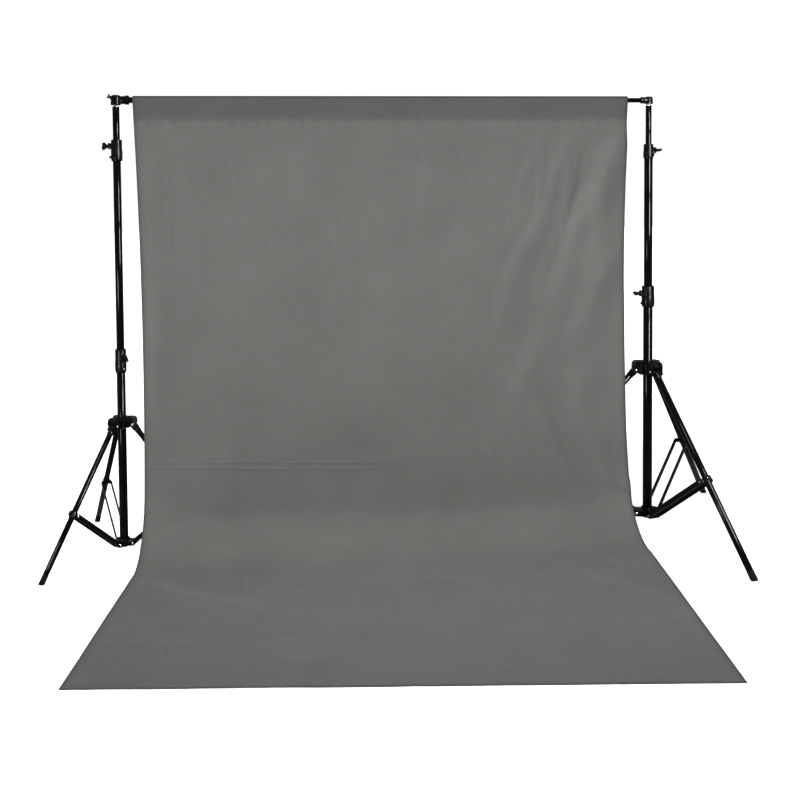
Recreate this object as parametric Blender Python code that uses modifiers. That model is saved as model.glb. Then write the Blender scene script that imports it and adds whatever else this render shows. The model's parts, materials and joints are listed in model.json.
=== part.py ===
"""Background support system: two folding stands, a three-section crossbar and a fabric backdrop.

Units are metres and +Z is up. The stands' columns stand at -X and +X, the crossbar lies along X
between their heads, and the backdrop hangs from it and sweeps forward over the floor towards -Y.
"""
import math

import bmesh
import bpy
from mathutils import Euler, Matrix, Vector

# ---------------------------------------------------------------- driving dimensions
COLUMN_SPACING = 3.000          # between the two column axes
BAR_HEIGHT = 2.498              # crossbar axis above the floor
GAP = 0.0003                    # clearance kept where two pieces touch
SLIDE_GAP = 0.0006              # clearance of a tube in its collar
ROUND = 18                      # sides of the large turned pieces
SMALL_ROUND = 10                # sides of pins, studs and rods

# One dictionary for each stand. Radii are outer radii; z values are heights above the floor.
LEFT = dict(
    side="left", x=-COLUMN_SPACING / 2, heading=-5.6,
    tube_radius=(0.0235, 0.02125, 0.0187), base_z=0.046, hub_z=0.722, hub_height=0.064,
    hub_reach=0.080, leg_pivot=0.062, base_pivot=0.054, base_height=0.050,
    lower_collar=(0.998, 1.127, 0.0310), upper_collar=(2.164, 2.282, 0.0305),
    lower_knob_heading=-56.0, upper_knob_heading=180.0, lower_knob_turn=20.0, upper_knob_turn=35.0,
    leg_radius=0.0150, foot_circle=0.5785, clip_share=0.587, clip_offset=0.014,
    strap_gap=0.0243, strap_width=0.024, strap_thickness=0.0045,
    fitting_height=0.056, fitting_radius=0.0275)
RIGHT = dict(
    side="right", x=COLUMN_SPACING / 2, heading=-72.3,
    tube_radius=(0.0270, 0.02425, 0.0170), base_z=0.100, hub_z=0.952, hub_height=0.082,
    hub_reach=0.090, leg_pivot=0.070, base_pivot=0.066, base_height=0.066,
    lower_collar=(1.307, 1.427, 0.0370), upper_collar=(2.163, 2.247, 0.0290),
    lower_knob_heading=180.0, upper_knob_heading=-43.0, lower_knob_turn=75.0, upper_knob_turn=100.0,
    leg_radius=0.0185, foot_circle=0.8860, clip_share=0.556, clip_offset=0.016,
    strap_gap=0.0340, strap_width=0.028, strap_thickness=0.0075,
    fitting_height=0.042, fitting_radius=0.0245)

TUBE_WALL = 0.0015
COLUMN_FOOT = 0.018             # the lower tube ends this far under the base hub's middle
TUBE_OVERLAP = 0.130            # how far a section still reaches into the one below
LEG_COUNT = 3

PIN_RADIUS = 0.0040
PIN_CLEARANCE = 0.0004
RIVET_RADIUS = 0.0075
RIVET_HEIGHT = 0.0028
CHEEK_THICKNESS = 0.0045

KNOB_STUD = 0.0045
KNOB_SPAN = 0.048               # length of a lock knob's paddle
KNOB_GRIP = 0.020               # thickness of the paddle across its span
KNOB_DEPTH = 0.030              # how far the paddle stands out along its stud
BOSS_REACH = 0.014              # how far a collar's boss stands out

BAR_RADIUS = (0.0165, 0.0148, 0.0131)       # left, middle and right sections
BAR_JOINT_X = (-0.500, 0.500)               # where one section ends in the next
BAR_OVERLAP = 0.160
BAR_END_INSET = 0.026                       # a section starts this far inside the column axis
STOP_RING = (-1.440, 0.022, 0.026)          # middle x, width, radius
SPIGOT_RADIUS = 0.0080
SPIGOT_NECK = 0.010
LEFT_BOLT_RISE = math.radians(28)           # the left wing bolt points outwards and up
BOLT_HUB_RADIUS = 0.0070
FOOT_CAP = 0.034                            # length of a rubber foot below the leg's tube
BUTTON_RADIUS = 0.0035
BUTTON_TRAVEL = 0.003

CLOTH_THICKNESS = 0.002
CLOTH_LIFT = 0.0005             # under side of the sweep above the floor
POCKET_RADIUS = 0.0225
POCKET_FLAP = 0.115             # depth of the pole pocket under the bar's axis
WALL_FOOT_Y = -0.095
COVE_TOP_Z = 0.300
COVE_REACH = 0.300              # how far the cove runs forward from the wall
WALL_EDGES_TOP = (-1.408, 1.371)
WALL_EDGES_MIDDLE = (-1.374, 1.331)
WALL_EDGES_FOOT = (-1.373, 1.368)
COVE_EDGES = (-1.392, 1.392)
FRONT_LEFT = (-1.507, -1.654)
FRONT_RIGHT = (1.270, -1.913)

BLACK_TUBE = ("black_tube", (0.012, 0.012, 0.013), 0.32, 0.6)
BLACK_CASTING = ("black_casting", (0.014, 0.014, 0.015), 0.45, 0.0)
BLACK_PLASTIC = ("black_plastic", (0.010, 0.010, 0.011), 0.38, 0.0)
RUBBER = ("rubber", (0.013, 0.013, 0.013), 0.75, 0.0)
STEEL = ("bright_steel", (0.62, 0.62, 0.63), 0.22, 1.0)
FABRIC = ("backdrop_fabric", (0.168, 0.175, 0.164), 0.92, 0.0)


# ---------------------------------------------------------------- scene, collections, materials
def clear_scene():
    for obj in list(bpy.data.objects):
        bpy.data.objects.remove(obj, do_unlink=True)


def new_collection(name):
    collection = bpy.data.collections.new(name)
    bpy.context.scene.collection.children.link(collection)
    return collection


def material(spec):
    name, color, roughness, metallic = spec
    found = bpy.data.materials.get(name)
    if found:
        return found
    made = bpy.data.materials.new(name)
    made.use_nodes = True
    shader = made.node_tree.nodes["Principled BSDF"]
    shader.inputs["Base Color"].default_value = (*color, 1.0)
    shader.inputs["Roughness"].default_value = roughness
    shader.inputs["Metallic"].default_value = metallic
    return made


clear_scene()
PARTS = new_collection("background_support_system")
CUTTERS = new_collection("cutters")


def empty(name, location, parent=None):
    made = bpy.data.objects.new(name, None)
    made.location = location
    made.parent = parent
    PARTS.objects.link(made)
    return made


ROOT = empty("background_support", (0, 0, 0))


# ---------------------------------------------------------------- shapes
def box(size, centre, turn=None):
    shape = bmesh.new()
    bmesh.ops.create_cube(shape, size=1.0, matrix=Matrix.LocRotScale(Vector(centre), turn, Vector(size)))
    return shape


AXIS_TURN = {"X": Euler((0, math.pi / 2, 0)), "Y": Euler((math.pi / 2, 0, 0)), "Z": Euler((0, 0, 0))}


def rod(radius, length, centre, axis="Z", sides=SMALL_ROUND, end_radius=None):
    """A closed cylinder or cone along one local axis."""
    shape = bmesh.new()
    place = Matrix.LocRotScale(Vector(centre), AXIS_TURN[axis], None)
    bmesh.ops.create_cone(shape, cap_ends=True, segments=sides, radius1=radius,
                          radius2=radius if end_radius is None else end_radius,
                          depth=length, matrix=place)
    return shape


def profile_loop(points, closed):
    """An outline in the XZ half plane for a Screw modifier, outer side from top to bottom."""
    shape = bmesh.new()
    corners = [shape.verts.new((radius, 0.0, height)) for radius, height in points]
    for first, second in zip(corners, corners[1:]):
        shape.edges.new((first, second))
    if closed:
        shape.edges.new((corners[-1], corners[0]))
    return shape


def mesh_object(name, shape, collection, parent, location, rotation):
    mesh = bpy.data.meshes.new(name)
    shape.to_mesh(mesh)
    shape.free()
    made = bpy.data.objects.new(name, mesh)
    made.location = location
    made.rotation_euler = rotation
    made.parent = parent
    collection.objects.link(made)
    return made


def add_screw(obj, sides):
    screw = obj.modifiers.new("turn", "SCREW")
    screw.axis = "Z"
    screw.steps = sides
    screw.render_steps = sides
    screw.use_merge_vertices = True
    screw.merge_threshold = 0.00001
    screw.use_smooth_shade = True


def cutter(name, shape, like, sides=None):
    """A hidden helper solid in the same frame as the object that it cuts or joins."""
    made = mesh_object(name, shape, CUTTERS, like.parent, like.location, like.rotation_euler)
    if sides:
        add_screw(made, sides)
    made.hide_render = True
    made.display_type = "WIRE"
    return made


def boolean(obj, operation, shape, sides=None):
    count = len(obj.modifiers)
    tool = cutter(f"{obj.name}_{operation.lower()}_{count}", shape, obj, sides)
    step = obj.modifiers.new(f"{operation.lower()}_{count}", "BOOLEAN")
    step.operation = operation
    step.solver = "EXACT"
    step.object = tool


def piece(name, spec, shape, parent=ROOT, location=(0, 0, 0), rotation=(0, 0, 0),
          joined=(), cut=(), turned_sides=None):
    """One node: a first shape, the shapes joined to it and then the shapes cut from it."""
    made = mesh_object(name, shape, PARTS, parent, location, rotation)
    if turned_sides:
        add_screw(made, turned_sides)
    made.data.materials.append(material(spec))
    for extra in joined:
        boolean(made, "UNION", extra)
    for hole in cut:
        boolean(made, "DIFFERENCE", hole)
    if not turned_sides:
        made.data.shade_smooth()
        made.data.set_sharp_from_angle(angle=math.radians(35))
    return made


def ring_profile(outer, inner, bottom, top):
    return [(outer, top), (outer, bottom), (inner, bottom), (inner, top)]


def pipe(name, spec, outer, inner, bottom, top, parent, **extra):
    loop = profile_loop(ring_profile(outer, inner, bottom, top), closed=True)
    return piece(name, spec, loop, parent, turned_sides=ROUND, **extra)


# ---------------------------------------------------------------- stand geometry
def leg_line(stand):
    """Pivot height, leg length from pivot to foot end, and lean from the vertical."""
    pivot_z = stand["hub_z"] - 0.012
    foot_end_z = 0.012
    run = stand["foot_circle"] - stand["leg_pivot"]
    drop = pivot_z - foot_end_z
    return pivot_z, math.hypot(run, drop), math.atan2(run, drop)


def clip_point(stand):
    """Radius and height of the brace's upper pivot, on the inner side of the leg."""
    pivot_z, length, lean = leg_line(stand)
    along = length * stand["clip_share"]
    offset = stand["clip_offset"]
    radius = stand["leg_pivot"] + along * math.sin(lean) - offset * math.cos(lean)
    height = pivot_z - along * math.cos(lean) - offset * math.sin(lean)
    return radius, height


def brace_line(stand):
    """Length of a brace and its lean from the vertical."""
    radius, height = clip_point(stand)
    run = radius - stand["base_pivot"]
    rise = height - stand["base_z"]
    return math.hypot(run, rise), math.atan2(run, rise)


def leg_heading(stand, index):
    return math.radians(stand["heading"] + index * 360 / LEG_COUNT)


def around(radius, heading, height):
    return (radius * math.cos(heading), radius * math.sin(heading), height)


# ---------------------------------------------------------------- stand: column
def column_tubes(stand, origin):
    side = stand["side"]
    lower, middle, top = stand["tube_radius"]
    lower_top = stand["lower_collar"][0] + 0.045
    middle_top = stand["upper_collar"][0] + 0.045
    middle_bottom = stand["lower_collar"][0] - TUBE_OVERLAP
    top_bottom = stand["upper_collar"][0] - TUBE_OVERLAP
    top_top = BAR_HEIGHT - stand["fitting_height"] / 2 - SPIGOT_NECK
    column_bottom = stand["base_z"] - COLUMN_FOOT
    pipe(f"{side}_lower_tube", BLACK_TUBE, lower, lower - TUBE_WALL, column_bottom, lower_top, origin)
    pipe(f"{side}_middle_tube", BLACK_TUBE, middle, middle - TUBE_WALL, middle_bottom, middle_top, origin)
    pipe(f"{side}_top_tube", BLACK_TUBE, top, top - TUBE_WALL, top_bottom, top_top, origin)

    bush_top = middle_bottom - GAP
    bush = ring_profile(lower - TUBE_WALL - GAP, 0.012, bush_top - 0.012, bush_top)
    piece(f"{side}_guide_bush", BLACK_PLASTIC, profile_loop(bush, closed=True), origin, turned_sides=ROUND)

    plug_bore = lower - TUBE_WALL - GAP
    flange_top = column_bottom - GAP
    plug = [(0, flange_top + 0.016), (plug_bore, flange_top + 0.016), (plug_bore, flange_top),
            (lower, flange_top), (lower, flange_top - 0.004), (0, flange_top - 0.004)]
    piece(f"{side}_base_plug", BLACK_PLASTIC, profile_loop(plug, closed=False), origin, turned_sides=ROUND)
    spigot(stand, origin, top, top_top)


def spigot(stand, origin, tube_radius, tube_top):
    """Bright stud: a plug in the top tube, a flange, a neck and a pin up into the bar's fitting."""
    pin_top = BAR_HEIGHT + 0.006
    plug = tube_radius - TUBE_WALL - GAP
    flange = tube_radius - 0.001
    outline = [(0, pin_top), (SPIGOT_RADIUS - 0.0015, pin_top), (SPIGOT_RADIUS, pin_top - 0.0015),
               (SPIGOT_RADIUS, tube_top + 0.005), (flange, tube_top + 0.0035),
               (flange, tube_top + GAP), (plug, tube_top + GAP), (plug, tube_top - 0.030),
               (0, tube_top - 0.030)]
    piece(f"{stand['side']}_spigot", STEEL, profile_loop(outline, closed=False), origin,
          turned_sides=ROUND)


def lock_collar(stand, origin, level, tube, inner_tube, heading, knob_z):
    """A two-step clamp collar: the lower part grips one tube and the upper part guides the next."""
    side = stand["side"]
    bottom, top, radius = stand[f"{level}_collar"]
    step = bottom + 0.045 + GAP
    bore, guide = tube + GAP, inner_tube + SLIDE_GAP
    waist = radius - 0.003
    middle = (bottom + top) / 2
    outline = [(waist - 0.002, top), (waist, top - 0.002), (waist, middle), (radius, middle - 0.004),
               (radius, bottom + 0.003), (radius - 0.003, bottom), (bore, bottom), (bore, step),
               (guide, step), (guide, top)]
    reach = radius + BOSS_REACH
    boss_start = bore + 0.0008
    boss = box((reach - boss_start, 0.026, 0.034), ((reach + boss_start) / 2, 0, knob_z))
    stud_hole = rod(KNOB_STUD + PIN_CLEARANCE, 0.014, (reach - 0.004, 0, knob_z), "X")
    screw_z = bottom + 0.022
    screw_end = radius + 0.007
    screw_boss = rod(0.008, screw_end - boss_start, ((screw_end + boss_start) / 2, 0, screw_z), "X")
    piece(f"{side}_{level}_lock_collar", BLACK_PLASTIC, profile_loop(outline, closed=True), origin,
          rotation=(0, 0, heading), joined=(boss, screw_boss), cut=(stud_hole,), turned_sides=ROUND)
    turn = math.radians(stand[f"{level}_knob_turn"])
    lock_knob(f"{side}_{level}_lock_knob", origin, heading, turn, reach, knob_z)


def lock_knob(name, origin, heading, turn, boss_face, height):
    """A paddle knob on its stud; its local X axis is the stud's axis, and it rests turned about it."""
    stud_start = -0.0095
    neck = 0.006
    stud = rod(KNOB_STUD, neck - stud_start + 0.002, ((neck + stud_start) / 2 + 0.001, 0, 0), "X")
    collar = rod(0.0095, neck - 0.001 + 0.002, (0.0010 + neck / 2, 0, 0), "X")
    paddle = box((KNOB_DEPTH, KNOB_GRIP * 0.62, KNOB_SPAN), (neck + KNOB_DEPTH / 2, 0, 0),
                 Euler((turn, 0, 0)))
    piece(name, BLACK_PLASTIC, stud, origin, location=around(boss_face, heading, height),
          rotation=(0, 0, heading), joined=(collar, paddle))


# ---------------------------------------------------------------- stand: hubs, legs, braces
def leg_hub(stand, origin):
    """A sliding ring with three open-bottomed lugs and their pins."""
    side, radius = stand["side"], stand["tube_radius"][0]
    height, reach, pivot = stand["hub_height"], stand["hub_reach"], stand["leg_pivot"]
    pivot_z = leg_line(stand)[0]
    inner = stand["strap_gap"]
    outer = inner + CHEEK_THICKNESS
    bottom, top = stand["hub_z"] - height / 2, stand["hub_z"] + height / 2
    loop = profile_loop(ring_profile(radius + 0.009, radius + SLIDE_GAP, bottom, top), closed=True)
    start = radius + 0.004
    lugs, slots, pins = [], [], []
    for index in range(LEG_COUNT):
        heading = leg_heading(stand, index)
        turn = Euler((0, 0, heading))
        lugs.append(box((reach - start, 2 * outer, height - 0.006),
                        around((reach + start) / 2, heading, stand["hub_z"]), turn))
        slot_start = radius + 0.012
        slot_top = pivot_z + stand["leg_radius"] + 0.003
        slots.append(box((reach - slot_start + 0.02, 2 * inner, height),
                         around((reach + slot_start + 0.02) / 2, heading, slot_top - height / 2), turn))
        lying = turn.to_matrix().to_4x4() @ Matrix.Rotation(math.pi / 2, 4, "X")
        centre = Matrix.Translation(around(pivot, heading, pivot_z))
        for thickness, length in ((PIN_RADIUS, 2 * outer), (RIVET_RADIUS, None)):
            if length:
                pins.append(cone_at(centre @ lying, thickness, length))
                continue
            for sign in (-1, 1):
                shift = Matrix.Translation((0, 0, sign * (outer + RIVET_HEIGHT / 2 - 0.0005)))
                pins.append(cone_at(centre @ lying @ shift, thickness, RIVET_HEIGHT + 0.001))
    made = mesh_object(f"{side}_leg_hub", loop, PARTS, origin, (0, 0, 0), (0, 0, 0))
    add_screw(made, ROUND)
    made.data.materials.append(material(BLACK_CASTING))
    for lug in lugs:
        boolean(made, "UNION", lug)
    for slot in slots:
        boolean(made, "DIFFERENCE", slot)
    for pin in pins:
        boolean(made, "UNION", pin)


def cone_at(place, radius, length, sides=SMALL_ROUND):
    shape = bmesh.new()
    bmesh.ops.create_cone(shape, cap_ends=True, segments=sides, radius1=radius, radius2=radius,
                          depth=length, matrix=place)
    return shape


def base_hub(stand, origin):
    """The fixed ring at the column's foot, with a lug for each brace."""
    radius, reach = stand["tube_radius"][0], stand["base_pivot"] + 0.013
    width, height = 2 * (stand["strap_gap"] - PIN_CLEARANCE), stand["base_height"]
    z = stand["base_z"]
    loop = profile_loop(ring_profile(radius + 0.009, radius + GAP, z - height / 2 + 0.008,
                                     z + height / 2), closed=True)
    start = radius + 0.004
    lugs, holes = [], []
    for index in range(LEG_COUNT):
        heading = leg_heading(stand, index)
        turn = Euler((0, 0, heading))
        lugs.append(box((reach - start, width, height * 0.6), around((reach + start) / 2, heading, z), turn))
        lying = turn.to_matrix().to_4x4() @ Matrix.Rotation(math.pi / 2, 4, "X")
        centre = Matrix.Translation(around(stand["base_pivot"], heading, z))
        holes.append(cone_at(centre @ lying, PIN_RADIUS + PIN_CLEARANCE, width + 0.01))
    piece(f"{stand['side']}_base_hub", BLACK_CASTING, loop, origin, joined=lugs, cut=holes,
          turned_sides=ROUND)


def leg(stand, origin, index):
    """A tube whose top end is a cross block that turns on the hub's pin, and its rubber foot."""
    side, heading, radius = stand["side"], leg_heading(stand, index), stand["leg_radius"]
    pivot_z, length, lean = leg_line(stand)
    place = around(stand["leg_pivot"], heading, pivot_z)
    turn = (0, -lean, heading)
    block_half = stand["strap_gap"] - PIN_CLEARANCE
    tube_end = -(length - FOOT_CAP)
    loop = profile_loop(ring_profile(radius, radius - TUBE_WALL, tube_end, -0.024), closed=True)
    block = box((2 * radius - 0.004, 2 * block_half, 0.042), (0, 0, -0.012))
    pin_hole = rod(PIN_RADIUS + PIN_CLEARANCE, 2 * block_half + 0.01, (0, 0, 0), "Y")
    piece(f"{side}_leg_{index + 1}", BLACK_TUBE, loop, origin, place, turn,
          joined=(block,), cut=(pin_hole,), turned_sides=ROUND)

    plug, skin = radius - TUBE_WALL - GAP, radius + 0.0006
    cap_top, foot_end = tube_end - GAP, -(length + 0.020)
    outline = [(0, cap_top + 0.030), (plug, cap_top + 0.030), (plug, cap_top), (skin, cap_top),
               (skin, foot_end), (0, foot_end)]
    foot = piece(f"{side}_foot_{index + 1}", RUBBER, profile_loop(outline, closed=False), origin,
                 place, turn, turned_sides=ROUND)
    step = foot.modifiers.new("stand_flat", "BOOLEAN")
    step.operation, step.solver, step.object = "DIFFERENCE", "EXACT", FLOOR_CUTTER


def leg_clip(stand, origin, index):
    """A clamp round the leg with a lug on either side of it, between the brace's straps."""
    pivot_z, length, lean = leg_line(stand)
    heading, radius, offset = leg_heading(stand, index), stand["leg_radius"], stand["clip_offset"]
    along = length * stand["clip_share"]
    place = around(stand["leg_pivot"] + along * math.sin(lean), heading, pivot_z - along * math.cos(lean))
    skin = radius + 0.0045
    loop = profile_loop(ring_profile(skin, radius + GAP, -0.017, 0.017), closed=True)
    half, start = stand["strap_gap"] - PIN_CLEARANCE, radius + 0.0010
    lugs = [box((0.018, half - start, 0.018), (-offset, sign * (half + start) / 2, 0)) for sign in (-1, 1)]
    thumb = rod(0.0055, 0.012, (skin + 0.0045, 0, 0), "X")
    piece(f"{stand['side']}_leg_clip_{index + 1}", BLACK_PLASTIC, loop, origin, place,
          (0, -lean, heading), joined=(*lugs, thumb), cut=(), turned_sides=ROUND)


def brace(stand, origin, index):
    """Two flat straps joined by the pin through the base hub's lug, riveted beside the leg clip."""
    length, lean = brace_line(stand)
    heading = leg_heading(stand, index)
    gap = stand["strap_gap"]
    width, thickness = stand["strap_width"], stand["strap_thickness"]
    mid = gap + thickness / 2
    place = around(stand["base_pivot"], heading, stand["base_z"])
    pin = rod(PIN_RADIUS, 2 * (gap + thickness) - 0.001, (0, 0, 0), "Y")
    parts = []
    for sign in (-1, 1):
        parts.append(box((width, thickness, length), (0, sign * mid, length / 2)))
        for end in (0, length):
            parts.append(rod(width / 2, thickness, (0, sign * mid, end), "Y", ROUND))
            head = sign * (gap + thickness + RIVET_HEIGHT / 2 - 0.0005)
            parts.append(rod(RIVET_RADIUS, RIVET_HEIGHT + 0.001, (0, head, end), "Y"))
    piece(f"{stand['side']}_brace_{index + 1}", BLACK_TUBE, pin, origin, place, (0, lean, heading),
          joined=parts)


def build_stand(stand):
    origin = empty(f"{stand['side']}_stand", (stand["x"], 0, 0), ROOT)
    lower, middle, top = stand["tube_radius"]
    column_tubes(stand, origin)
    upper_bottom, upper_top, _ = stand["upper_collar"]
    lower_bottom, lower_top, _ = stand["lower_collar"]
    lock_collar(stand, origin, "lower", lower, middle, math.radians(stand["lower_knob_heading"]),
                lower_top - 0.042)
    lock_collar(stand, origin, "upper", middle, top, math.radians(stand["upper_knob_heading"]),
                upper_top - 0.036)
    leg_hub(stand, origin)
    base_hub(stand, origin)
    for index in range(LEG_COUNT):
        leg(stand, origin, index)
        leg_clip(stand, origin, index)
        brace(stand, origin, index)


# ---------------------------------------------------------------- crossbar
def end_fitting(stand, bolt_axis, bolt_turn, bolt_face):
    """The rounded head at a bar end that drops over the stand's spigot, and its wing bolt."""
    side, x, height = stand["side"], stand["x"], stand["fitting_height"]
    inward = 1 if side == "left" else -1
    bar_radius = BAR_RADIUS[0] if side == "left" else BAR_RADIUS[2]
    body = rod(stand["fitting_radius"], height, (0, 0, 0), "Z", ROUND)
    socket = rod(bar_radius + 0.006, 0.040, (inward * 0.026, 0, 0), "X", ROUND)
    bore = rod(SPIGOT_RADIUS + 2 * PIN_CLEARANCE, 0.040, (0, 0, -0.0130), "Z")
    bar_seat = rod(bar_radius + GAP, 0.030, (inward * (BAR_END_INSET + 0.015 - GAP), 0, 0), "X", ROUND)
    bolt_hole = cone_at(bolt_turn.to_matrix().to_4x4() @ Matrix.Translation((0, 0, bolt_face - 0.006)),
                        0.0045 + PIN_CLEARANCE, 0.022)
    piece(f"bar_{side}_end_fitting", BLACK_CASTING, body, ROOT, (x, 0, BAR_HEIGHT),
          joined=(socket,), cut=(bore, bar_seat, bolt_hole))

    shank = cone_at(Matrix.Translation((0, 0, -0.006)), 0.0045, 0.022)
    hub = cone_at(Matrix.Translation((0, 0, 0.0045)), BOLT_HUB_RADIUS, 0.007)
    wing = box((0.026, 0.0045, 0.0105), (0, 0, 0.0095))
    location = Vector((x, 0, BAR_HEIGHT)) + Vector(bolt_axis) * (bolt_face + 0.001)
    piece(f"bar_{side}_wing_bolt", BLACK_CASTING, shank, ROOT, location, bolt_turn, joined=(hub, wing))


def crossbar():
    left, middle, right = BAR_RADIUS
    wall = 0.0014
    start = -COLUMN_SPACING / 2 + BAR_END_INSET
    stop = COLUMN_SPACING / 2 - BAR_END_INSET
    spans = (("left", left, start, BAR_JOINT_X[0]),
             ("middle", middle, BAR_JOINT_X[0] - BAR_OVERLAP, BAR_JOINT_X[1]),
             ("right", right, BAR_JOINT_X[1] - BAR_OVERLAP, stop))
    button_x = [joint - BAR_OVERLAP / 2 for joint in BAR_JOINT_X]
    for name, radius, first, last in spans:
        loop = profile_loop(ring_profile(radius, radius - wall, -last, -first), closed=True)
        holes = []
        for x in button_x:
            if first < x < last:
                holes.append(rod(BUTTON_RADIUS + PIN_CLEARANCE, 0.030, (0, 0.016, -x), "Y"))
        piece(f"bar_{name}_section", BLACK_TUBE, loop, ROOT, (0, 0, BAR_HEIGHT),
              (0, -math.pi / 2, 0), cut=holes, turned_sides=ROUND)
    for number, (x, outer) in enumerate(zip(button_x, (left, middle)), start=1):
        length = 0.011
        pin = rod(BUTTON_RADIUS, length, (0, outer + 0.0025 - length / 2, 0), "Y")
        piece(f"bar_snap_button_{number}", STEEL, pin, ROOT, (x, 0, BAR_HEIGHT))
    ring_x, ring_width, ring_radius = STOP_RING
    ring = [(ring_radius - 0.002, ring_width / 2), (ring_radius, ring_width / 2 - 0.002),
            (ring_radius, -ring_width / 2 + 0.002), (ring_radius - 0.002, -ring_width / 2),
            (left + GAP, -ring_width / 2), (left + GAP, ring_width / 2)]
    piece("bar_stop_ring", BLACK_PLASTIC, profile_loop(ring, closed=True), ROOT,
          (ring_x, 0, BAR_HEIGHT), (0, math.pi / 2, 0), turned_sides=ROUND)
    outwards = (-math.cos(LEFT_BOLT_RISE), 0, math.sin(LEFT_BOLT_RISE))
    face = (LEFT["fitting_radius"] + BOLT_HUB_RADIUS * math.sin(LEFT_BOLT_RISE)) / math.cos(LEFT_BOLT_RISE)
    end_fitting(LEFT, outwards, Euler((0, LEFT_BOLT_RISE - math.pi / 2, 0)), face)
    end_fitting(RIGHT, (0, 1, 0), Euler((-math.pi / 2, 0, 0)), RIGHT["fitting_radius"])


# ---------------------------------------------------------------- backdrop
def wall_point(height):
    """Front-to-back place of the hanging cloth at a height: it leans forward to the cove."""
    share = (BAR_HEIGHT - height) / (BAR_HEIGHT - COVE_TOP_Z)
    return -POCKET_RADIUS + share * (WALL_FOOT_Y + POCKET_RADIUS)


def wall_edges(height):
    """Left and right edge of the hanging cloth, by a parabola through three heights."""
    share = (height - COVE_TOP_Z) / (BAR_HEIGHT - COVE_TOP_Z)
    edges = []
    for foot, middle, top in zip(WALL_EDGES_FOOT, WALL_EDGES_MIDDLE, WALL_EDGES_TOP):
        bend = 2 * foot + 2 * top - 4 * middle
        edges.append(foot + (top - foot - bend) * share + bend * share * share)
    return edges


def strip(name, rows, parent=ROOT):
    """A thin closed solid from rows of (left point, right point), thickened with Solidify."""
    shape = bmesh.new()
    pairs = [[shape.verts.new(point) for point in row] for row in rows]
    for (first_left, first_right), (next_left, next_right) in zip(pairs, pairs[1:]):
        shape.faces.new((first_left, first_right, next_right, next_left))
    made = mesh_object(name, shape, PARTS, parent, (0, 0, 0), (0, 0, 0))
    made.data.materials.append(material(FABRIC))
    thicken = made.modifiers.new("thickness", "SOLIDIFY")
    thicken.thickness = CLOTH_THICKNESS
    thicken.offset = 0.0
    return made


def backdrop_drop():
    """The pole pocket, closed behind the cloth, and the hanging wall down to the cove."""
    left, right = WALL_EDGES_TOP
    flap_z = BAR_HEIGHT - POCKET_FLAP
    path = [(wall_point(flap_z) + 0.0045, flap_z)]
    turns = 10
    for step in range(turns + 1):
        angle = math.pi * step / turns
        path.append((POCKET_RADIUS * math.cos(angle), BAR_HEIGHT + POCKET_RADIUS * math.sin(angle)))
    rows = [((left, y, z), (right, y, z)) for y, z in path]
    steps = 10
    for step in range(1, steps + 1):
        height = BAR_HEIGHT + (COVE_TOP_Z + GAP - BAR_HEIGHT) * step / steps
        left, right = wall_edges(height)
        rows.append(((left, wall_point(height), height), (right, wall_point(height), height)))
    strip("backdrop_drop", rows)


def backdrop_sweep():
    """The cove at the foot of the wall and the cloth that runs forward over the floor."""
    bottom = CLOTH_LIFT + CLOTH_THICKNESS / 2
    rows = []
    steps = 10
    for step in range(steps + 1):
        angle = math.pi / 2 * step / steps
        y = WALL_FOOT_Y - COVE_REACH * (1 - math.cos(angle))
        z = COVE_TOP_Z - GAP - (COVE_TOP_Z - GAP - bottom) * math.sin(angle)
        left, right = (foot + (cove - foot) * step / steps
                       for foot, cove in zip(WALL_EDGES_FOOT, COVE_EDGES))
        rows.append(((left, y, z), (right, y, z)))
    cove_y = WALL_FOOT_Y - COVE_REACH
    steps = 4
    for step in range(1, steps + 1):
        share = step / steps
        row = [(edge + (x - edge) * share, cove_y + (y - cove_y) * share, bottom)
               for edge, (x, y) in zip(COVE_EDGES, (FRONT_LEFT, FRONT_RIGHT))]
        rows.append(tuple(row))
    strip("backdrop_sweep", rows)


def centre_on_footprint():
    """Move the whole model so that the middle of its footprint is the origin."""
    bpy.context.view_layer.update()
    graph = bpy.context.evaluated_depsgraph_get()
    corners = []
    for obj in PARTS.objects:
        if obj.type == "MESH":
            solid = obj.evaluated_get(graph)
            corners += [solid.matrix_world @ vertex.co for vertex in solid.data.vertices]
    for axis in (0, 1):
        values = [corner[axis] for corner in corners]
        ROOT.location[axis] -= (min(values) + max(values)) / 2


FLOOR_CUTTER = mesh_object("floor_cutter", box((0.6 + COLUMN_SPACING * 2, 4.0, 0.2), (0, 0, -0.1)),
                           CUTTERS, ROOT, (0, 0, 0), (0, 0, 0))
FLOOR_CUTTER.hide_render = True
FLOOR_CUTTER.display_type = "WIRE"
build_stand(LEFT)
build_stand(RIGHT)
crossbar()
backdrop_drop()
backdrop_sweep()
centre_on_footprint()
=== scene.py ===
"""Looks of the background support system: fine hardware round the CAD frame and one real cloth."""
import json
import math

import bmesh
import bpy
import numpy as np
from mathutils import Matrix, Vector, noise


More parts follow.
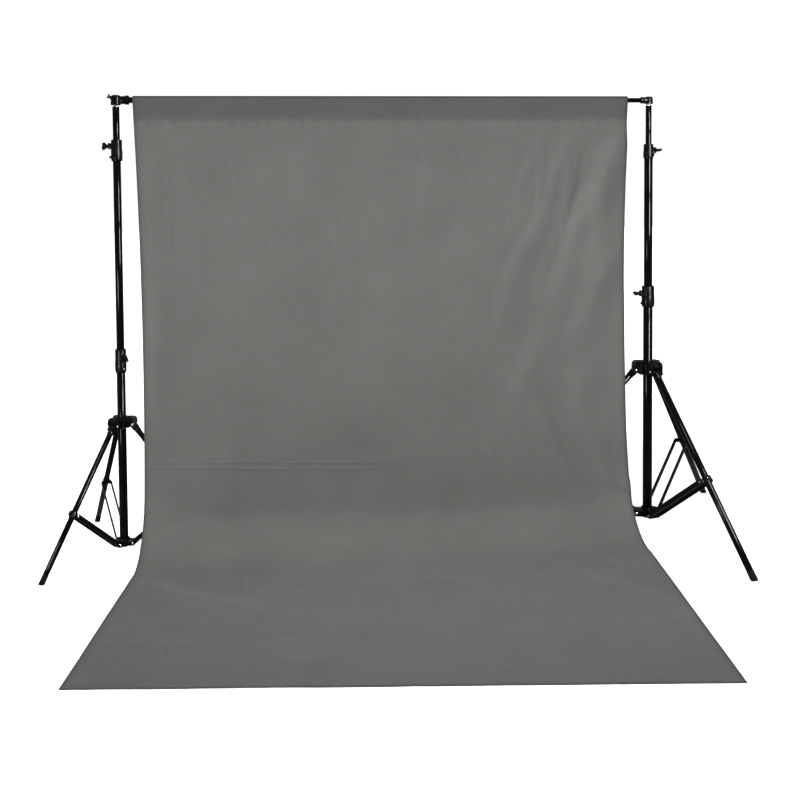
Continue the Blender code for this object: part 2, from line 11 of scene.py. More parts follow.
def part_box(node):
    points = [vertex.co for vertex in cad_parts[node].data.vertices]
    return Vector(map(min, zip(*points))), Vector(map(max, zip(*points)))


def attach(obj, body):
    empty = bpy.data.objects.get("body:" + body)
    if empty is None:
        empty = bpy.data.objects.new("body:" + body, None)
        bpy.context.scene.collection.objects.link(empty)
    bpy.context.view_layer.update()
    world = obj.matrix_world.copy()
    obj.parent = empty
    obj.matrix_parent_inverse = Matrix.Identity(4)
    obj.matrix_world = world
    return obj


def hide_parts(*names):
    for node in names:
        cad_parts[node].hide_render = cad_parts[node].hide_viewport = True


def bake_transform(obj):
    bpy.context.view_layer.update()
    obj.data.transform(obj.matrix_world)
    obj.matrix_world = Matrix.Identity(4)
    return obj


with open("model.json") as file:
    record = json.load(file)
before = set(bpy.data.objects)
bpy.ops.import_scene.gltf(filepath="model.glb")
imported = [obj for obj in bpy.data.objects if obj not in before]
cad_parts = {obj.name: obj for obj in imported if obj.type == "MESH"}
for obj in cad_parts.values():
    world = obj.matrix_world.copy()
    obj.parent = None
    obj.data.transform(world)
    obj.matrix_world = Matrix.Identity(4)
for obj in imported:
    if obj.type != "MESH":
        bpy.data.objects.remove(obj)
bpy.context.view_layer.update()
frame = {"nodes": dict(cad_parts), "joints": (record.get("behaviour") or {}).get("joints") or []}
JOINTS = {joint["name"]: joint for joint in frame["joints"]}

# ---------------------------------------------------------------- places read from the frame
def middle(node):
    low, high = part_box(node)
    return (low + high) / 2


def far_end(node, pivot):
    """Middle of a CAD node's end that lies furthest from its pivot."""
    points = [vertex.co for vertex in frame["nodes"][node].data.vertices]
    reach = max((point - pivot).length for point in points)
    end = [point for point in points if (point - pivot).length > reach - 0.0008]
    return sum(end, Vector()) / len(end)


SIDES = ("left", "right")
# The two stands differ in size: half the gap between a brace's straps, the straps, the legs and the hubs.
SIZES = {"left": dict(gap=0.0243, strap=0.0045, strap_width=0.024, leg=0.0150, clip_offset=0.014, clip_share=0.587,
                      hub_reach=0.080, lug_height=0.030, knob_turn=dict(lower=20, upper=35)),
         "right": dict(gap=0.0340, strap=0.0075, strap_width=0.028, leg=0.0185, clip_offset=0.016, clip_share=0.556,
                       hub_reach=0.090, lug_height=0.0396, knob_turn=dict(lower=75, upper=100))}
FOOT_CAP = 0.034                            # length of a rubber foot below the leg's tube
AXIS = {side: Vector((middle(f"{side}_lower_tube").x, middle(f"{side}_lower_tube").y, 0)) for side in SIDES}
BAR = middle("bar_middle_section")
BAR_Y, BAR_Z = BAR.y, BAR.z
MIDDLE_X = (AXIS["left"].x + AXIS["right"].x) / 2

# ---------------------------------------------------------------- camera and light
CAMERA_PLACE = (-0.538, -5.975, 2.043)      # from the middle between the columns, on the floor
CAMERA_YAW = 0.0994
CAMERA_PITCH = 0.0461
CAMERA_ROLL = 0.0072
LENS = 47.9
LENS_SHIFT = -0.212


def make_camera():
    data = bpy.data.cameras.new("camera")
    camera = bpy.data.objects.new("camera", data)
    bpy.context.scene.collection.objects.link(camera)
    bpy.context.scene.camera = camera
    camera.location = Vector(CAMERA_PLACE) + Vector((MIDDLE_X, BAR_Y, 0))
    turn = Matrix.Rotation(-CAMERA_YAW, 3, "Z") @ Matrix.Rotation(math.pi / 2 - CAMERA_PITCH, 3, "X")
    camera.rotation_euler = (turn @ Matrix.Rotation(-CAMERA_ROLL, 3, "Z")).to_euler()
    data.lens = LENS
    data.sensor_width = 36.0
    data.shift_y = LENS_SHIFT
    data.clip_end = 200


def area_light(name, place, target, size, power):
    data = bpy.data.lights.new(name, "AREA")
    data.shape = "RECTANGLE"
    data.size, data.size_y = size
    data.energy = power
    light = bpy.data.objects.new(name, data)
    light.location = place
    light.rotation_euler = (Vector(target) - Vector(place)).to_track_quat("-Z", "Y").to_euler()
    bpy.context.scene.collection.objects.link(light)
    return light


def softbox(name, place, target, size, power):
    """A large light panel that only shows as a reflection in the gloss."""
    light = area_light(name, place, target, size, power)
    light.visible_diffuse = light.visible_camera = False


def sun(name, azimuth, elevation, spread, strength):
    """Soft distant light; the azimuth is measured from the camera's side, positive to the right."""
    data = bpy.data.lights.new(name, "SUN")
    data.energy = strength
    data.angle = math.radians(spread)
    light = bpy.data.objects.new(name, data)
    turn, rise = math.radians(azimuth), math.radians(elevation)
    towards = Vector((math.sin(turn) * math.cos(rise), -math.cos(turn) * math.cos(rise), math.sin(rise)))
    light.rotation_euler = towards.to_track_quat("Z", "Y").to_euler()
    light.visible_glossy = False
    bpy.context.scene.collection.objects.link(light)


def make_world():
    """A white studio: the surroundings show white, but light the object only softly."""
    world = bpy.data.worlds.new("studio")
    bpy.context.scene.world = world
    world.use_nodes = True
    tree = world.node_tree
    back = tree.nodes["Background"]
    back.inputs["Color"].default_value = (1.0, 1.0, 1.0, 1.0)
    rays = tree.nodes.new("ShaderNodeLightPath")
    strength = tree.nodes.new("ShaderNodeMapRange")
    strength.inputs["To Min"].default_value = WORLD_LIGHT
    strength.inputs["To Max"].default_value = WORLD_WHITE
    tree.links.new(rays.outputs["Is Camera Ray"], strength.inputs["Value"])
    tree.links.new(strength.outputs["Result"], back.inputs["Strength"])


WORLD_LIGHT, WORLD_WHITE = 0.24, 1.05       # what the surroundings give the object, and what the camera sees
FLOOR_GLOW = 0.75                           # the studio floor's own light, so that it shows white
# Name, azimuth and elevation in degrees, angular size in degrees, strength.
SUNS = (("key_light", -60, 23, 6, 4.10), ("fill_light", 40, 14, 50, 0.70), ("back_light", 165, 40, 20, 0.45))
# Name, place from the middle between the columns, height of the target, size, power.
SOFTBOXES = (("right_softbox", (2.83, -3.85, 2.5), 1.8, (0.75, 1.6), 490),
             ("high_softbox", (2.83, -3.85, 4.6), 1.8, (0.75, 1.7), 520),
             ("left_softbox", (-3.30, -3.30, 0.75), 1.0, (0.35, 1.1), 110))


def make_studio():
    bpy.context.scene.view_settings.view_transform = "Standard"
    make_world()
    floor = bpy.data.meshes.new("studio_floor")
    shape = bmesh.new()
    bmesh.ops.create_grid(shape, x_segments=2, y_segments=2, size=40)
    shape.to_mesh(floor)
    shape.free()
    ground = bpy.data.objects.new("studio_floor", floor)
    bpy.context.scene.collection.objects.link(ground)
    paint, tree, shader = new_material("studio_floor", (0.97, 0.97, 0.97), 0.9)
    shader.inputs["Specular IOR Level"].default_value = 0.1
    shader.inputs["Emission Color"].default_value = (1.0, 1.0, 1.0, 1.0)
    shader.inputs["Emission Strength"].default_value = FLOOR_GLOW
    floor.materials.append(paint)
    ground.visible_glossy = False
    for name, azimuth, elevation, spread, strength in SUNS:
        sun(name, azimuth, elevation, spread, strength)
    for name, (across, depth, height), target_height, size, power in SOFTBOXES:
        softbox(name, (MIDDLE_X + across, BAR_Y + depth, height), (MIDDLE_X, BAR_Y, target_height), size, power)
    overhead = area_light("floor_light", (MIDDLE_X, BAR_Y - 1.4, 3.8), (MIDDLE_X, BAR_Y - 0.9, 0), (3.4, 1.0), 27)
    overhead.data.spread = math.radians(85)


# ---------------------------------------------------------------- materials
def new_material(name, color, roughness, metallic=0.0):
    made = bpy.data.materials.new(name)
    made.use_nodes = True
    shader = made.node_tree.nodes["Principled BSDF"]
    shader.inputs["Base Color"].default_value = (*color, 1.0)
    shader.inputs["Roughness"].default_value = roughness
    shader.inputs["Metallic"].default_value = metallic
    return made, made.node_tree, shader


def add_noise(tree, scale, detail=4.0, stretch=(1, 1, 1)):
    coords = tree.nodes.new("ShaderNodeTexCoord")
    mapping = tree.nodes.new("ShaderNodeMapping")
    mapping.inputs["Scale"].default_value = stretch
    texture = tree.nodes.new("ShaderNodeTexNoise")
    texture.inputs["Scale"].default_value = scale
    texture.inputs["Detail"].default_value = detail
    tree.links.new(coords.outputs["Object"], mapping.inputs["Vector"])
    tree.links.new(mapping.outputs["Vector"], texture.inputs["Vector"])
    return texture


def ramp_between(tree, source, low, high, start=0.35, stop=0.65):
    ramp = tree.nodes.new("ShaderNodeMapRange")
    ramp.inputs["From Min"].default_value = start
    ramp.inputs["From Max"].default_value = stop
    ramp.inputs["To Min"].default_value = low
    ramp.inputs["To Max"].default_value = high
    tree.links.new(source, ramp.inputs["Value"])
    return ramp.outputs["Result"]


def mix_colors(tree, factor, first, second):
    mix = tree.nodes.new("ShaderNodeMix")
    mix.data_type = "RGBA"
    mix.inputs["A"].default_value = (*first, 1.0)
    mix.inputs["B"].default_value = (*second, 1.0)
    tree.links.new(factor, mix.inputs["Factor"])
    return mix.outputs["Result"]


def add_bump(tree, shader, height, strength, distance):
    bump = tree.nodes.new("ShaderNodeBump")
    bump.inputs["Strength"].default_value = strength
    bump.inputs["Distance"].default_value = distance
    tree.links.new(height, bump.inputs["Height"])
    tree.links.new(bump.outputs["Normal"], shader.inputs["Normal"])


def black_tube_material():
    """Black anodised tube: satin, with faint lengthwise draw marks and handling wear."""
    made, tree, shader = new_material("black_anodised_tube", (0.0025, 0.0025, 0.0025), 0.16)
    shader.inputs["Specular IOR Level"].default_value = 0.10
    draw = add_noise(tree, 60, 3, (14, 14, 0.4))
    wear = add_noise(tree, 9, 5)
    tree.links.new(ramp_between(tree, draw.outputs["Fac"], 0.09, 0.14), shader.inputs["Roughness"])
    tree.links.new(mix_colors(tree, ramp_between(tree, wear.outputs["Fac"], 0, 1, 0.45, 0.75),
                              (0.0010, 0.0010, 0.0010), (0.0026, 0.0026, 0.0026)), shader.inputs["Base Color"])
    add_bump(tree, shader, draw.outputs["Fac"], 0.03, 0.0003)
    return made


def casting_material():
    """Painted die casting: fine orange-peel skin and slightly lighter patches."""
    made, tree, shader = new_material("black_painted_casting", (0.006, 0.006, 0.006), 0.34)
    shader.inputs["Specular IOR Level"].default_value = 0.12
    skin = add_noise(tree, 900, 2)
    patches = add_noise(tree, 40, 4)
    tree.links.new(ramp_between(tree, patches.outputs["Fac"], 0.20, 0.34), shader.inputs["Roughness"])
    tree.links.new(mix_colors(tree, ramp_between(tree, patches.outputs["Fac"], 0, 1, 0.5, 0.8),
                              (0.0014, 0.0014, 0.0014), (0.0045, 0.0045, 0.0045)), shader.inputs["Base Color"])
    add_bump(tree, shader, skin.outputs["Fac"], 0.25, 0.0002)
    return made


def plastic_material():
    """Moulded nylon: fine spark-eroded grain with a soft gloss."""
    made, tree, shader = new_material("black_moulded_nylon", (0.006, 0.006, 0.006), 0.36)
    shader.inputs["Specular IOR Level"].default_value = 0.12
    grain = add_noise(tree, 1600, 2)
    tone = add_noise(tree, 55, 3)
    tree.links.new(ramp_between(tree, tone.outputs["Fac"], 0.20, 0.36), shader.inputs["Roughness"])
    tree.links.new(mix_colors(tree, ramp_between(tree, tone.outputs["Fac"], 0, 1),
                              (0.0012, 0.0012, 0.0012), (0.0034, 0.0034, 0.0034)), shader.inputs["Base Color"])
    add_bump(tree, shader, grain.outputs["Fac"], 0.35, 0.00015)
    return made


def rubber_material():
    made, tree, shader = new_material("black_moulded_rubber", (0.010, 0.010, 0.010), 0.70)
    shader.inputs["Specular IOR Level"].default_value = 0.06
    dust = add_noise(tree, 120, 5)
    tree.links.new(mix_colors(tree, ramp_between(tree, dust.outputs["Fac"], 0, 1, 0.5, 0.8),
                              (0.0025, 0.0025, 0.0025), (0.009, 0.0087, 0.0083)), shader.inputs["Base Color"])
    tree.links.new(ramp_between(tree, dust.outputs["Fac"], 0.66, 0.90), shader.inputs["Roughness"])
    add_bump(tree, shader, dust.outputs["Fac"], 0.3, 0.0003)
    return made


def steel_material():
    made, tree, shader = new_material("bright_plated_steel", (0.66, 0.66, 0.67), 0.20, 1.0)
    brush = add_noise(tree, 220, 3, (6, 6, 1))
    tree.links.new(ramp_between(tree, brush.outputs["Fac"], 0.13, 0.28), shader.inputs["Roughness"])
    tree.links.new(mix_colors(tree, ramp_between(tree, brush.outputs["Fac"], 0, 1),
                              (0.60, 0.60, 0.61), (0.72, 0.72, 0.73)), shader.inputs["Base Color"])
    add_bump(tree, shader, brush.outputs["Fac"], 0.05, 0.0002)
    return made


def cloth_place(tree):
    """Place on the flat cloth in metres, which the threads follow through every fold."""
    place = tree.nodes.new("ShaderNodeAttribute")
    place.attribute_name = "flat_place"
    return place.outputs["Vector"]


def cloth_noise(tree, place, scale, detail, roughness=0.5, stretch=(1, 1, 1)):
    mapping = tree.nodes.new("ShaderNodeMapping")
    mapping.inputs["Scale"].default_value = stretch
    texture = tree.nodes.new("ShaderNodeTexNoise")
    texture.inputs["Scale"].default_value = scale
    texture.inputs["Detail"].default_value = detail
    texture.inputs["Roughness"].default_value = roughness
    tree.links.new(place, mapping.inputs["Vector"])
    tree.links.new(mapping.outputs["Vector"], texture.inputs["Vector"])
    return texture.outputs["Fac"]


def multiply_colors(tree, first, second):
    mix = tree.nodes.new("ShaderNodeMix")
    mix.data_type = "RGBA"
    mix.blend_type = "MULTIPLY"
    mix.inputs["Factor"].default_value = 1.0
    tree.links.new(first, mix.inputs["A"])
    tree.links.new(second, mix.inputs["B"])
    return mix.outputs["Result"]


def greys(tree, factor, low, high):
    return mix_colors(tree, factor, (low,) * 3, (high,) * 3)


def fabric_material():
    """Matt grey muslin: plain weave with slubs, uneven dye in soft patches and a light nap, times the painted shade
    held in the tone attribute.
    """
    made, tree, shader = new_material("grey_backdrop_cloth", FABRIC_TONE, 0.90)
    shader.inputs["Sheen Weight"].default_value = 0.06
    shader.inputs["Sheen Roughness"].default_value = 0.45
    shader.inputs["Specular IOR Level"].default_value = 0.0
    place = cloth_place(tree)
    patches = ramp_between(tree, cloth_noise(tree, place, 2.6, 7, 0.60), 0, 1, 0.36, 0.64)
    blotches = ramp_between(tree, cloth_noise(tree, place, 11, 6, 0.65), 0, 1, 0.34, 0.66)
    slubs = ramp_between(tree, cloth_noise(tree, place, 60, 3, 0.5, (0.25, 9, 1)), 0, 1, 0.40, 0.75)
    flecks = ramp_between(tree, cloth_noise(tree, place, 420, 2), 0, 1)
    color = greys(tree, patches, 0.955, 1.035)
    color = multiply_colors(tree, color, greys(tree, blotches, 0.975, 1.02))
    color = multiply_colors(tree, color, greys(tree, slubs, 1.0, 0.975))
    color = multiply_colors(tree, color, greys(tree, flecks, 0.97, 1.02))
    tinted = mix_colors(tree, patches, FABRIC_TONE, tuple(tone * 1.01 for tone in FABRIC_TONE))
    color = multiply_colors(tree, color, tinted)
    # The tone attribute carries painted shade: darker pocket band, crown, hems and edges.
    painted_shade_node = tree.nodes.new("ShaderNodeAttribute")
    painted_shade_node.attribute_name = "tone"
    color = multiply_colors(tree, color, painted_shade_node.outputs["Color"])
    tree.links.new(color, shader.inputs["Base Color"])
    tree.links.new(ramp_between(tree, cloth_noise(tree, place, 30, 4), 0.84, 0.95), shader.inputs["Roughness"])
    threads = tree.nodes.new("ShaderNodeMath")
    threads.operation = "ADD"
    for number, direction in enumerate(("X", "Y")):
        wave = tree.nodes.new("ShaderNodeTexWave")
        wave.wave_type, wave.bands_direction = "BANDS", direction
        wave.inputs["Scale"].default_value = THREADS_PER_METRE * 2 * math.pi / 20
        wave.inputs["Distortion"].default_value = 0.7
        wave.inputs["Detail"].default_value = 2
        tree.links.new(place, wave.inputs["Vector"])
        tree.links.new(wave.outputs["Fac"], threads.inputs[number])
    add_bump(tree, shader, threads.outputs["Value"], 0.35, 0.0003)
    return made


def thread_material():
    """Twisted sewing thread, a shade darker than the cloth."""
    made, tree, shader = new_material("grey_sewing_thread", (0.10, 0.104, 0.098), 0.7)
    twist = add_noise(tree, 900, 2)
    tree.links.new(mix_colors(tree, ramp_between(tree, twist.outputs["Fac"], 0, 1),
                              (0.080, 0.083, 0.078), (0.125, 0.129, 0.121)), shader.inputs["Base Color"])
    add_bump(tree, shader, twist.outputs["Fac"], 0.3, 0.0001)
    return made


FABRIC_TONE = (0.097, 0.1005, 0.0945)
THREADS_PER_METRE = 1500
MATERIALS = {"black_tube": black_tube_material(), "black_casting": casting_material(),
             "black_plastic": plastic_material(), "rubber": rubber_material(),
             "bright_steel": steel_material(), "backdrop_fabric": fabric_material()}


# ---------------------------------------------------------------- mesh building
def lathe(profile, closed=False, segments=40, place=Matrix.Identity(4)):
    """A turned solid: (radius, height) points down the outer side, joined back if closed."""
    shape = bmesh.new()
    rings = []
    for radius, height in profile:
        if radius < 1e-6:
            rings.append([shape.verts.new((0, 0, height))])
            continue
        angles = (2 * math.pi * step / segments for step in range(segments))
        rings.append([shape.verts.new((radius * math.cos(a), radius * math.sin(a), height)) for a in angles])
    pairs = list(zip(rings, rings[1:]))
    if closed:
        pairs.append((rings[-1], rings[0]))
    for upper, lower in pairs:
        for step in range(segments):
            after = (step + 1) % segments
            corners = [upper[step % len(upper)], lower[step % len(lower)],
                       lower[after % len(lower)], upper[after % len(upper)]]
            unique = [corner for index, corner in enumerate(corners) if corner not in corners[:index]]
            if len(unique) > 2:
                shape.faces.new(unique)
    bmesh.ops.recalc_face_normals(shape, faces=shape.faces)
    bmesh.ops.transform(shape, matrix=place, verts=shape.verts)
    return shape


def cylinder(radius, length, place=Matrix.Identity(4), segments=24):
    return lathe([(0, length / 2), (radius, length / 2), (radius, -length / 2), (0, -length / 2)],
                 segments=segments, place=place)


def brick(size, place=Matrix.Identity(4)):
    shape = bmesh.new()
    bmesh.ops.create_cube(shape, size=1, matrix=place @ Matrix.Diagonal((*size, 1)))
    return shape


def slab(outline, thickness, place=Matrix.Identity(4)):
    """A flat outline in the local XY plane, given a thickness along Z."""
    shape = bmesh.new()
    bottom = [shape.verts.new((x, y, -thickness / 2)) for x, y in outline]
    face = shape.faces.new(bottom)
    lifted = bmesh.ops.extrude_face_region(shape, geom=[face])
    moved = [item for item in lifted["geom"] if isinstance(item, bmesh.types.BMVert)]
    bmesh.ops.translate(shape, verts=moved, vec=(0, 0, thickness))
    bmesh.ops.recalc_face_normals(shape, faces=shape.faces)
    bmesh.ops.transform(shape, matrix=place, verts=shape.verts)
    return shape


def arc(radius, first, last, steps, centre=(0, 0)):
    """Points on an arc, with the angles in degrees."""
    points = []
    for step in range(steps + 1):
        angle = math.radians(first + (last - first) * step / steps)
        points.append((centre[0] + radius * math.cos(angle), centre[1] + radius * math.sin(angle)))
    return points


def raw_object(name, shape):
    mesh = bpy.data.meshes.new(name)
    shape.to_mesh(mesh)
    shape.free()
    made = bpy.data.objects.new(name, mesh)
    bpy.context.scene.collection.objects.link(made)
    return made


def combine(target, shape, operation):
    tool = raw_object("tool", shape)
    step = target.modifiers.new("combine", "BOOLEAN")
    step.operation = operation
    step.solver = "EXACT"
    step.object = tool
    bpy.context.view_layer.update()
    graph = bpy.context.evaluated_depsgraph_get()
    result = bpy.data.meshes.new_from_object(target.evaluated_get(graph))
    target.modifiers.clear()
    target.data = result
    bpy.data.objects.remove(tool, do_unlink=True)


def finish_mesh(obj, bevel, segments=2, angle=32):
    """Rounded edges and smooth shading, applied to the mesh."""
    if bevel:
        step = obj.modifiers.new("edges", "BEVEL")
        step.width = bevel
        step.segments = segments
        step.limit_method = "ANGLE"
        step.angle_limit = math.radians(angle)
        step.use_clamp_overlap = True
        graph = bpy.context.evaluated_depsgraph_get()
        result = bpy.data.meshes.new_from_object(obj.evaluated_get(graph))
        obj.modifiers.clear()
        obj.data = result
    obj.data.shade_smooth()
    obj.data.set_sharp_from_angle(angle=math.radians(50))


def build(name, slot, body, base, joined=(), cut=(), bevel=0.0006, stands_for=(), place=None):
    """One finished piece: solids joined and cut, edges rounded, painted and set on its body."""
    made = raw_object(name, base)
    for shape in joined:
        combine(made, shape, "UNION")
    for shape in cut:
        combine(made, shape, "DIFFERENCE")
    finish_mesh(made, bevel)
    if place is not None:
        made.data.transform(place)
    made.data.materials.clear()
    made.data.materials.append(MATERIALS[slot])
    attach(made, body)
    if stands_for:
        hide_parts(*stands_for)
    return made


def upright(centre, height=0.0):
    return Matrix.Translation((centre.x, centre.y, height))


def heading_frame(origin, heading, lean=0.0):
    """A frame with X outwards along a heading; a lean turns its Z axis outwards."""
    return Matrix.Translation(origin) @ Matrix.Rotation(heading, 4, "Z") @ Matrix.Rotation(lean, 4, "Y")


LYING_Y = Matrix.Rotation(math.pi / 2, 4, "X")
LYING_X = Matrix.Rotation(math.pi / 2, 4, "Y")


def shifted(x, y, z, turn=Matrix.Identity(4)):
    return Matrix.Translation((x, y, z)) @ turn


# ---------------------------------------------------------------- columns
def box_radius(node):
    low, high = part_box(node)
    return (high.x - low.x) / 2


def tube_piece(side, level, body):
    """A drawn tube, open inside, with its ends softened."""
    node = f"{side}_{level}_tube"
    low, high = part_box(node)
    radius, wall = box_radius(node), 0.0015
    profile = [(radius - 0.0006, high.z), (radius, high.z - 0.0006), (radius, low.z + 0.0006),
               (radius - 0.0006, low.z), (radius - wall, low.z), (radius - wall, high.z)]
    return build(f"{side}_{level}_column_tube", "black_tube", body, lathe(profile, True, 48),
                 bevel=0, stands_for=[node], place=upright(AXIS[side]))


def knob_heading(side, level):
    axis = JOINTS[f"{side}_{level}_knob_turn"]["axis"]
    return math.atan2(axis[1], axis[0])


def lock_collar_piece(side, level, body):
    """Two-step moulded collar with a split clamp, grip ribs, a bolt boss and a nut."""
    node = f"{side}_{level}_lock_collar"
    low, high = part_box(node)
    joint = JOINTS[f"{side}_{level}_knob_turn"]
    reach = (Vector(joint["pos_m"][:2]) - AXIS[side].xy).length
    outer = reach - 0.014
    waist = outer - 0.0012
    lower_node, upper_node = (("lower", "middle") if level == "lower" else ("middle", "top"))
    bore = box_radius(f"{side}_{lower_node}_tube") + 0.0003
    guide = box_radius(f"{side}_{upper_node}_tube") + 0.0006
    bottom, top = low.z, high.z
    half = (bottom + top) / 2
    step = bottom + 0.0453
    profile = [(waist - 0.0025, top), (waist, top - 0.0025), (waist, half + 0.006), (outer - 0.0008, half + 0.003),
               (outer, half), (outer, bottom + 0.010), (outer - 0.0015, bottom + 0.008),
               (outer - 0.0015, bottom + 0.004), (outer - 0.003, bottom),
               (bore, bottom), (bore, step), (guide, step), (guide, top)]
    knob_z = joint["pos_m"][2] - bottom
    local = [(radius, height - bottom) for radius, height in profile]
    tall = top - bottom
    start = bore + 0.0008
    boss = brick((reach - start, 0.026, 0.034), shifted((reach + start) / 2, 0, knob_z))
    ears = brick((0.020, 0.013, 0.026), shifted(outer + 0.001, 0, knob_z - 0.001))
    bolt = cylinder(0.0075, 0.012, shifted(outer + 0.001, 0, 0.022, LYING_X))
    ribs = []
    for angle in (130, 150, 170, 190, 210, 230):
        turned = Matrix.Rotation(math.radians(angle), 4, "Z")
        ribs.append(brick((0.003, 0.0035, tall * 0.30), turned @ shifted(outer - 0.0006, 0, tall * 0.30)))
    stud_hole = cylinder(0.0049, 0.014, shifted(reach - 0.004, 0, knob_z, LYING_X))
    split = brick((0.020, 0.0016, tall - knob_z + 0.030), shifted(waist + 0.002, 0, (tall + knob_z) / 2))
    place = heading_frame((AXIS[side].x, AXIS[side].y, bottom), knob_heading(side, level))
    build(f"{side}_{level}_collar", "black_plastic", body, lathe(local, True, 44),
          joined=[boss, ears, bolt] + ribs, cut=[stud_hole, split], bevel=0.0008,
          stands_for=[node], place=place)
    socket_cap = lathe([(0, 0.003), (0.0042, 0.003), (0.0048, 0.0022), (0.0048, 0), (0, 0)], segments=6)
    build(f"{side}_{level}_collar_screw", "bright_steel", body, socket_cap, bevel=0.0003,
          place=place @ shifted(outer + 0.0072, 0, 0.022, LYING_X))


def lock_knob_piece(side, level):
    """A T paddle with rounded ends, finger grooves and a plated stud."""
    node = f"{side}_{level}_lock_knob"
    joint = JOINTS[f"{side}_{level}_knob_turn"]
    body = f"{side}_{level}_knob"
    place = (heading_frame(joint["pos_m"], knob_heading(side, level))
             @ Matrix.Rotation(math.radians(SIZES[side]["knob_turn"][level]), 4, "X"))
    outline = ([(0.004, 0.0085), (0.010, 0.0098), (0.0150, 0.0150)] + arc(0.0095, 150, -20, 10, (0.0245, 0.0130))
               + [(0.0325, 0.0040), (0.0325, -0.0040)] + arc(0.0095, 20, -150, 10, (0.0245, -0.0130))
               + [(0.0150, -0.0150), (0.010, -0.0098), (0.004, -0.0085)])
    paddle = slab(outline, 0.0118, LYING_Y)
    neck = cylinder(0.0092, 0.010, shifted(0.0055, 0, 0, LYING_X))
    grooves = [cylinder(0.0018, 0.016, shifted(0.0246 + 0.0100 * math.cos(angle), 0, sign * 0.0130
                                               + 0.0100 * math.sin(angle), LYING_Y), 12)
               for sign in (-1, 1) for angle in (-0.9, -0.3, 0.3, 0.9)]
    build(f"{side}_{level}_paddle", "black_plastic", body, paddle, joined=[neck], cut=grooves,
          bevel=0.0022, stands_for=[node], place=place)
    stud = cylinder(0.0043, 0.0125, shifted(-0.0030, 0, 0, LYING_X))
    build(f"{side}_{level}_stud", "bright_steel", body, stud, bevel=0.0004, place=place)


# ---------------------------------------------------------------- legs
def leg_facts(side, number):
    joint = JOINTS[f"{side}_leg_{number}_pivot"]
    pivot = Vector(joint["pos_m"])
    heading = math.atan2(-joint["axis"][0], joint["axis"][1])
    end = far_end(f"{side}_leg_{number}", pivot)
    run = (end - pivot).xy.length
    lean = math.atan2(run, pivot.z - end.z)
    return pivot, heading, lean, (end - pivot).length


def leg_pieces(side, number):
    """Drawn tube with a moulded head block that fills the hub's channel."""
    pivot, heading, lean, length = leg_facts(side, number)
    body, radius = f"{side}_leg_{number}", SIZES[side]["leg"]
    place = heading_frame(pivot, heading, -lean)
    half = SIZES[side]["gap"] - 0.0004
    profile = [(radius - 0.0004, -0.026), (radius, -0.0264), (radius, -length + 0.0005), (radius - 0.0005, -length),
               (radius - 0.0015, -length), (radius - 0.0015, -0.026)]
    build(f"{side}_leg_tube_{number}", "black_tube", body, lathe(profile, True, 36), bevel=0,
          stands_for=[f"{side}_leg_{number}"], place=place)
    side_outline = arc(radius - 0.0022, 0, 180, 14) + [(-radius + 0.0022, -0.032), (radius - 0.0022, -0.032)]
    block = slab(side_outline, 2 * half, LYING_Y)
    sleeve = lathe([(0, -0.010), (radius + 0.0018, -0.014), (radius + 0.0020, -0.050),
                    (radius + 0.0012, -0.052), (0, -0.052)], segments=36)
    relief = [brick((2 * radius, half * 0.5, 0.012), shifted(0, sign * (half * 0.72), -0.028)) for sign in (-1, 1)]
    build(f"{side}_leg_head_{number}", "black_plastic", body, block, joined=[sleeve],
          cut=[cylinder(0.0043, 0.09, LYING_Y)] + relief, bevel=0.0012, place=place)


def clip_piece(side, number):
    """A moulded clip round the leg, where a brace is hinged."""
    pivot, heading, lean, length = leg_facts(side, number)
    body = f"{side}_leg_{number}"
    radius, offset, share = (SIZES[side][key] for key in ("leg", "clip_offset", "clip_share"))
    along = (length + FOOT_CAP) * share
    place = heading_frame(pivot, heading, -lean) @ shifted(0, 0, -along)
    half = SIZES[side]["gap"] - 0.0004
    skin = radius + 0.0042
    collar = lathe([(skin - 0.001, 0.0175), (skin, 0.0165), (skin, -0.0165), (skin - 0.001, -0.0175),
                    (radius + 0.0003, -0.0175), (radius + 0.0003, 0.0175)], True, 36)
    start = radius + 0.0010
    outline = arc(0.0090, 90, 270, 12, (-offset, 0)) + [(-0.001, -0.0090), (-0.001, 0.0090)]
    lugs = [slab(outline, half - start, shifted(0, sign * (half + start) / 2, 0, LYING_Y)) for sign in (-1, 1)]
    ear = brick((0.012, 0.016, 0.022), shifted(skin + 0.004, 0, 0))
    build(f"{side}_clip_{number}", "black_plastic", body, collar, joined=lugs + [ear],
          cut=[brick((0.016, 0.0015, 0.04), shifted(skin + 0.004, 0, 0))], bevel=0.0008,
          stands_for=[f"{side}_leg_clip_{number}"], place=place)
    screw = lathe([(0, 0.0015), (0.0032, 0.0015), (0.0042, 0.0004), (0.0042, -0.001), (0, -0.001)], segments=20)
    build(f"{side}_clip_screw_{number}", "bright_steel", body, screw, bevel=0.0002,
          place=place @ shifted(skin + 0.004, -0.0085, 0, LYING_Y))


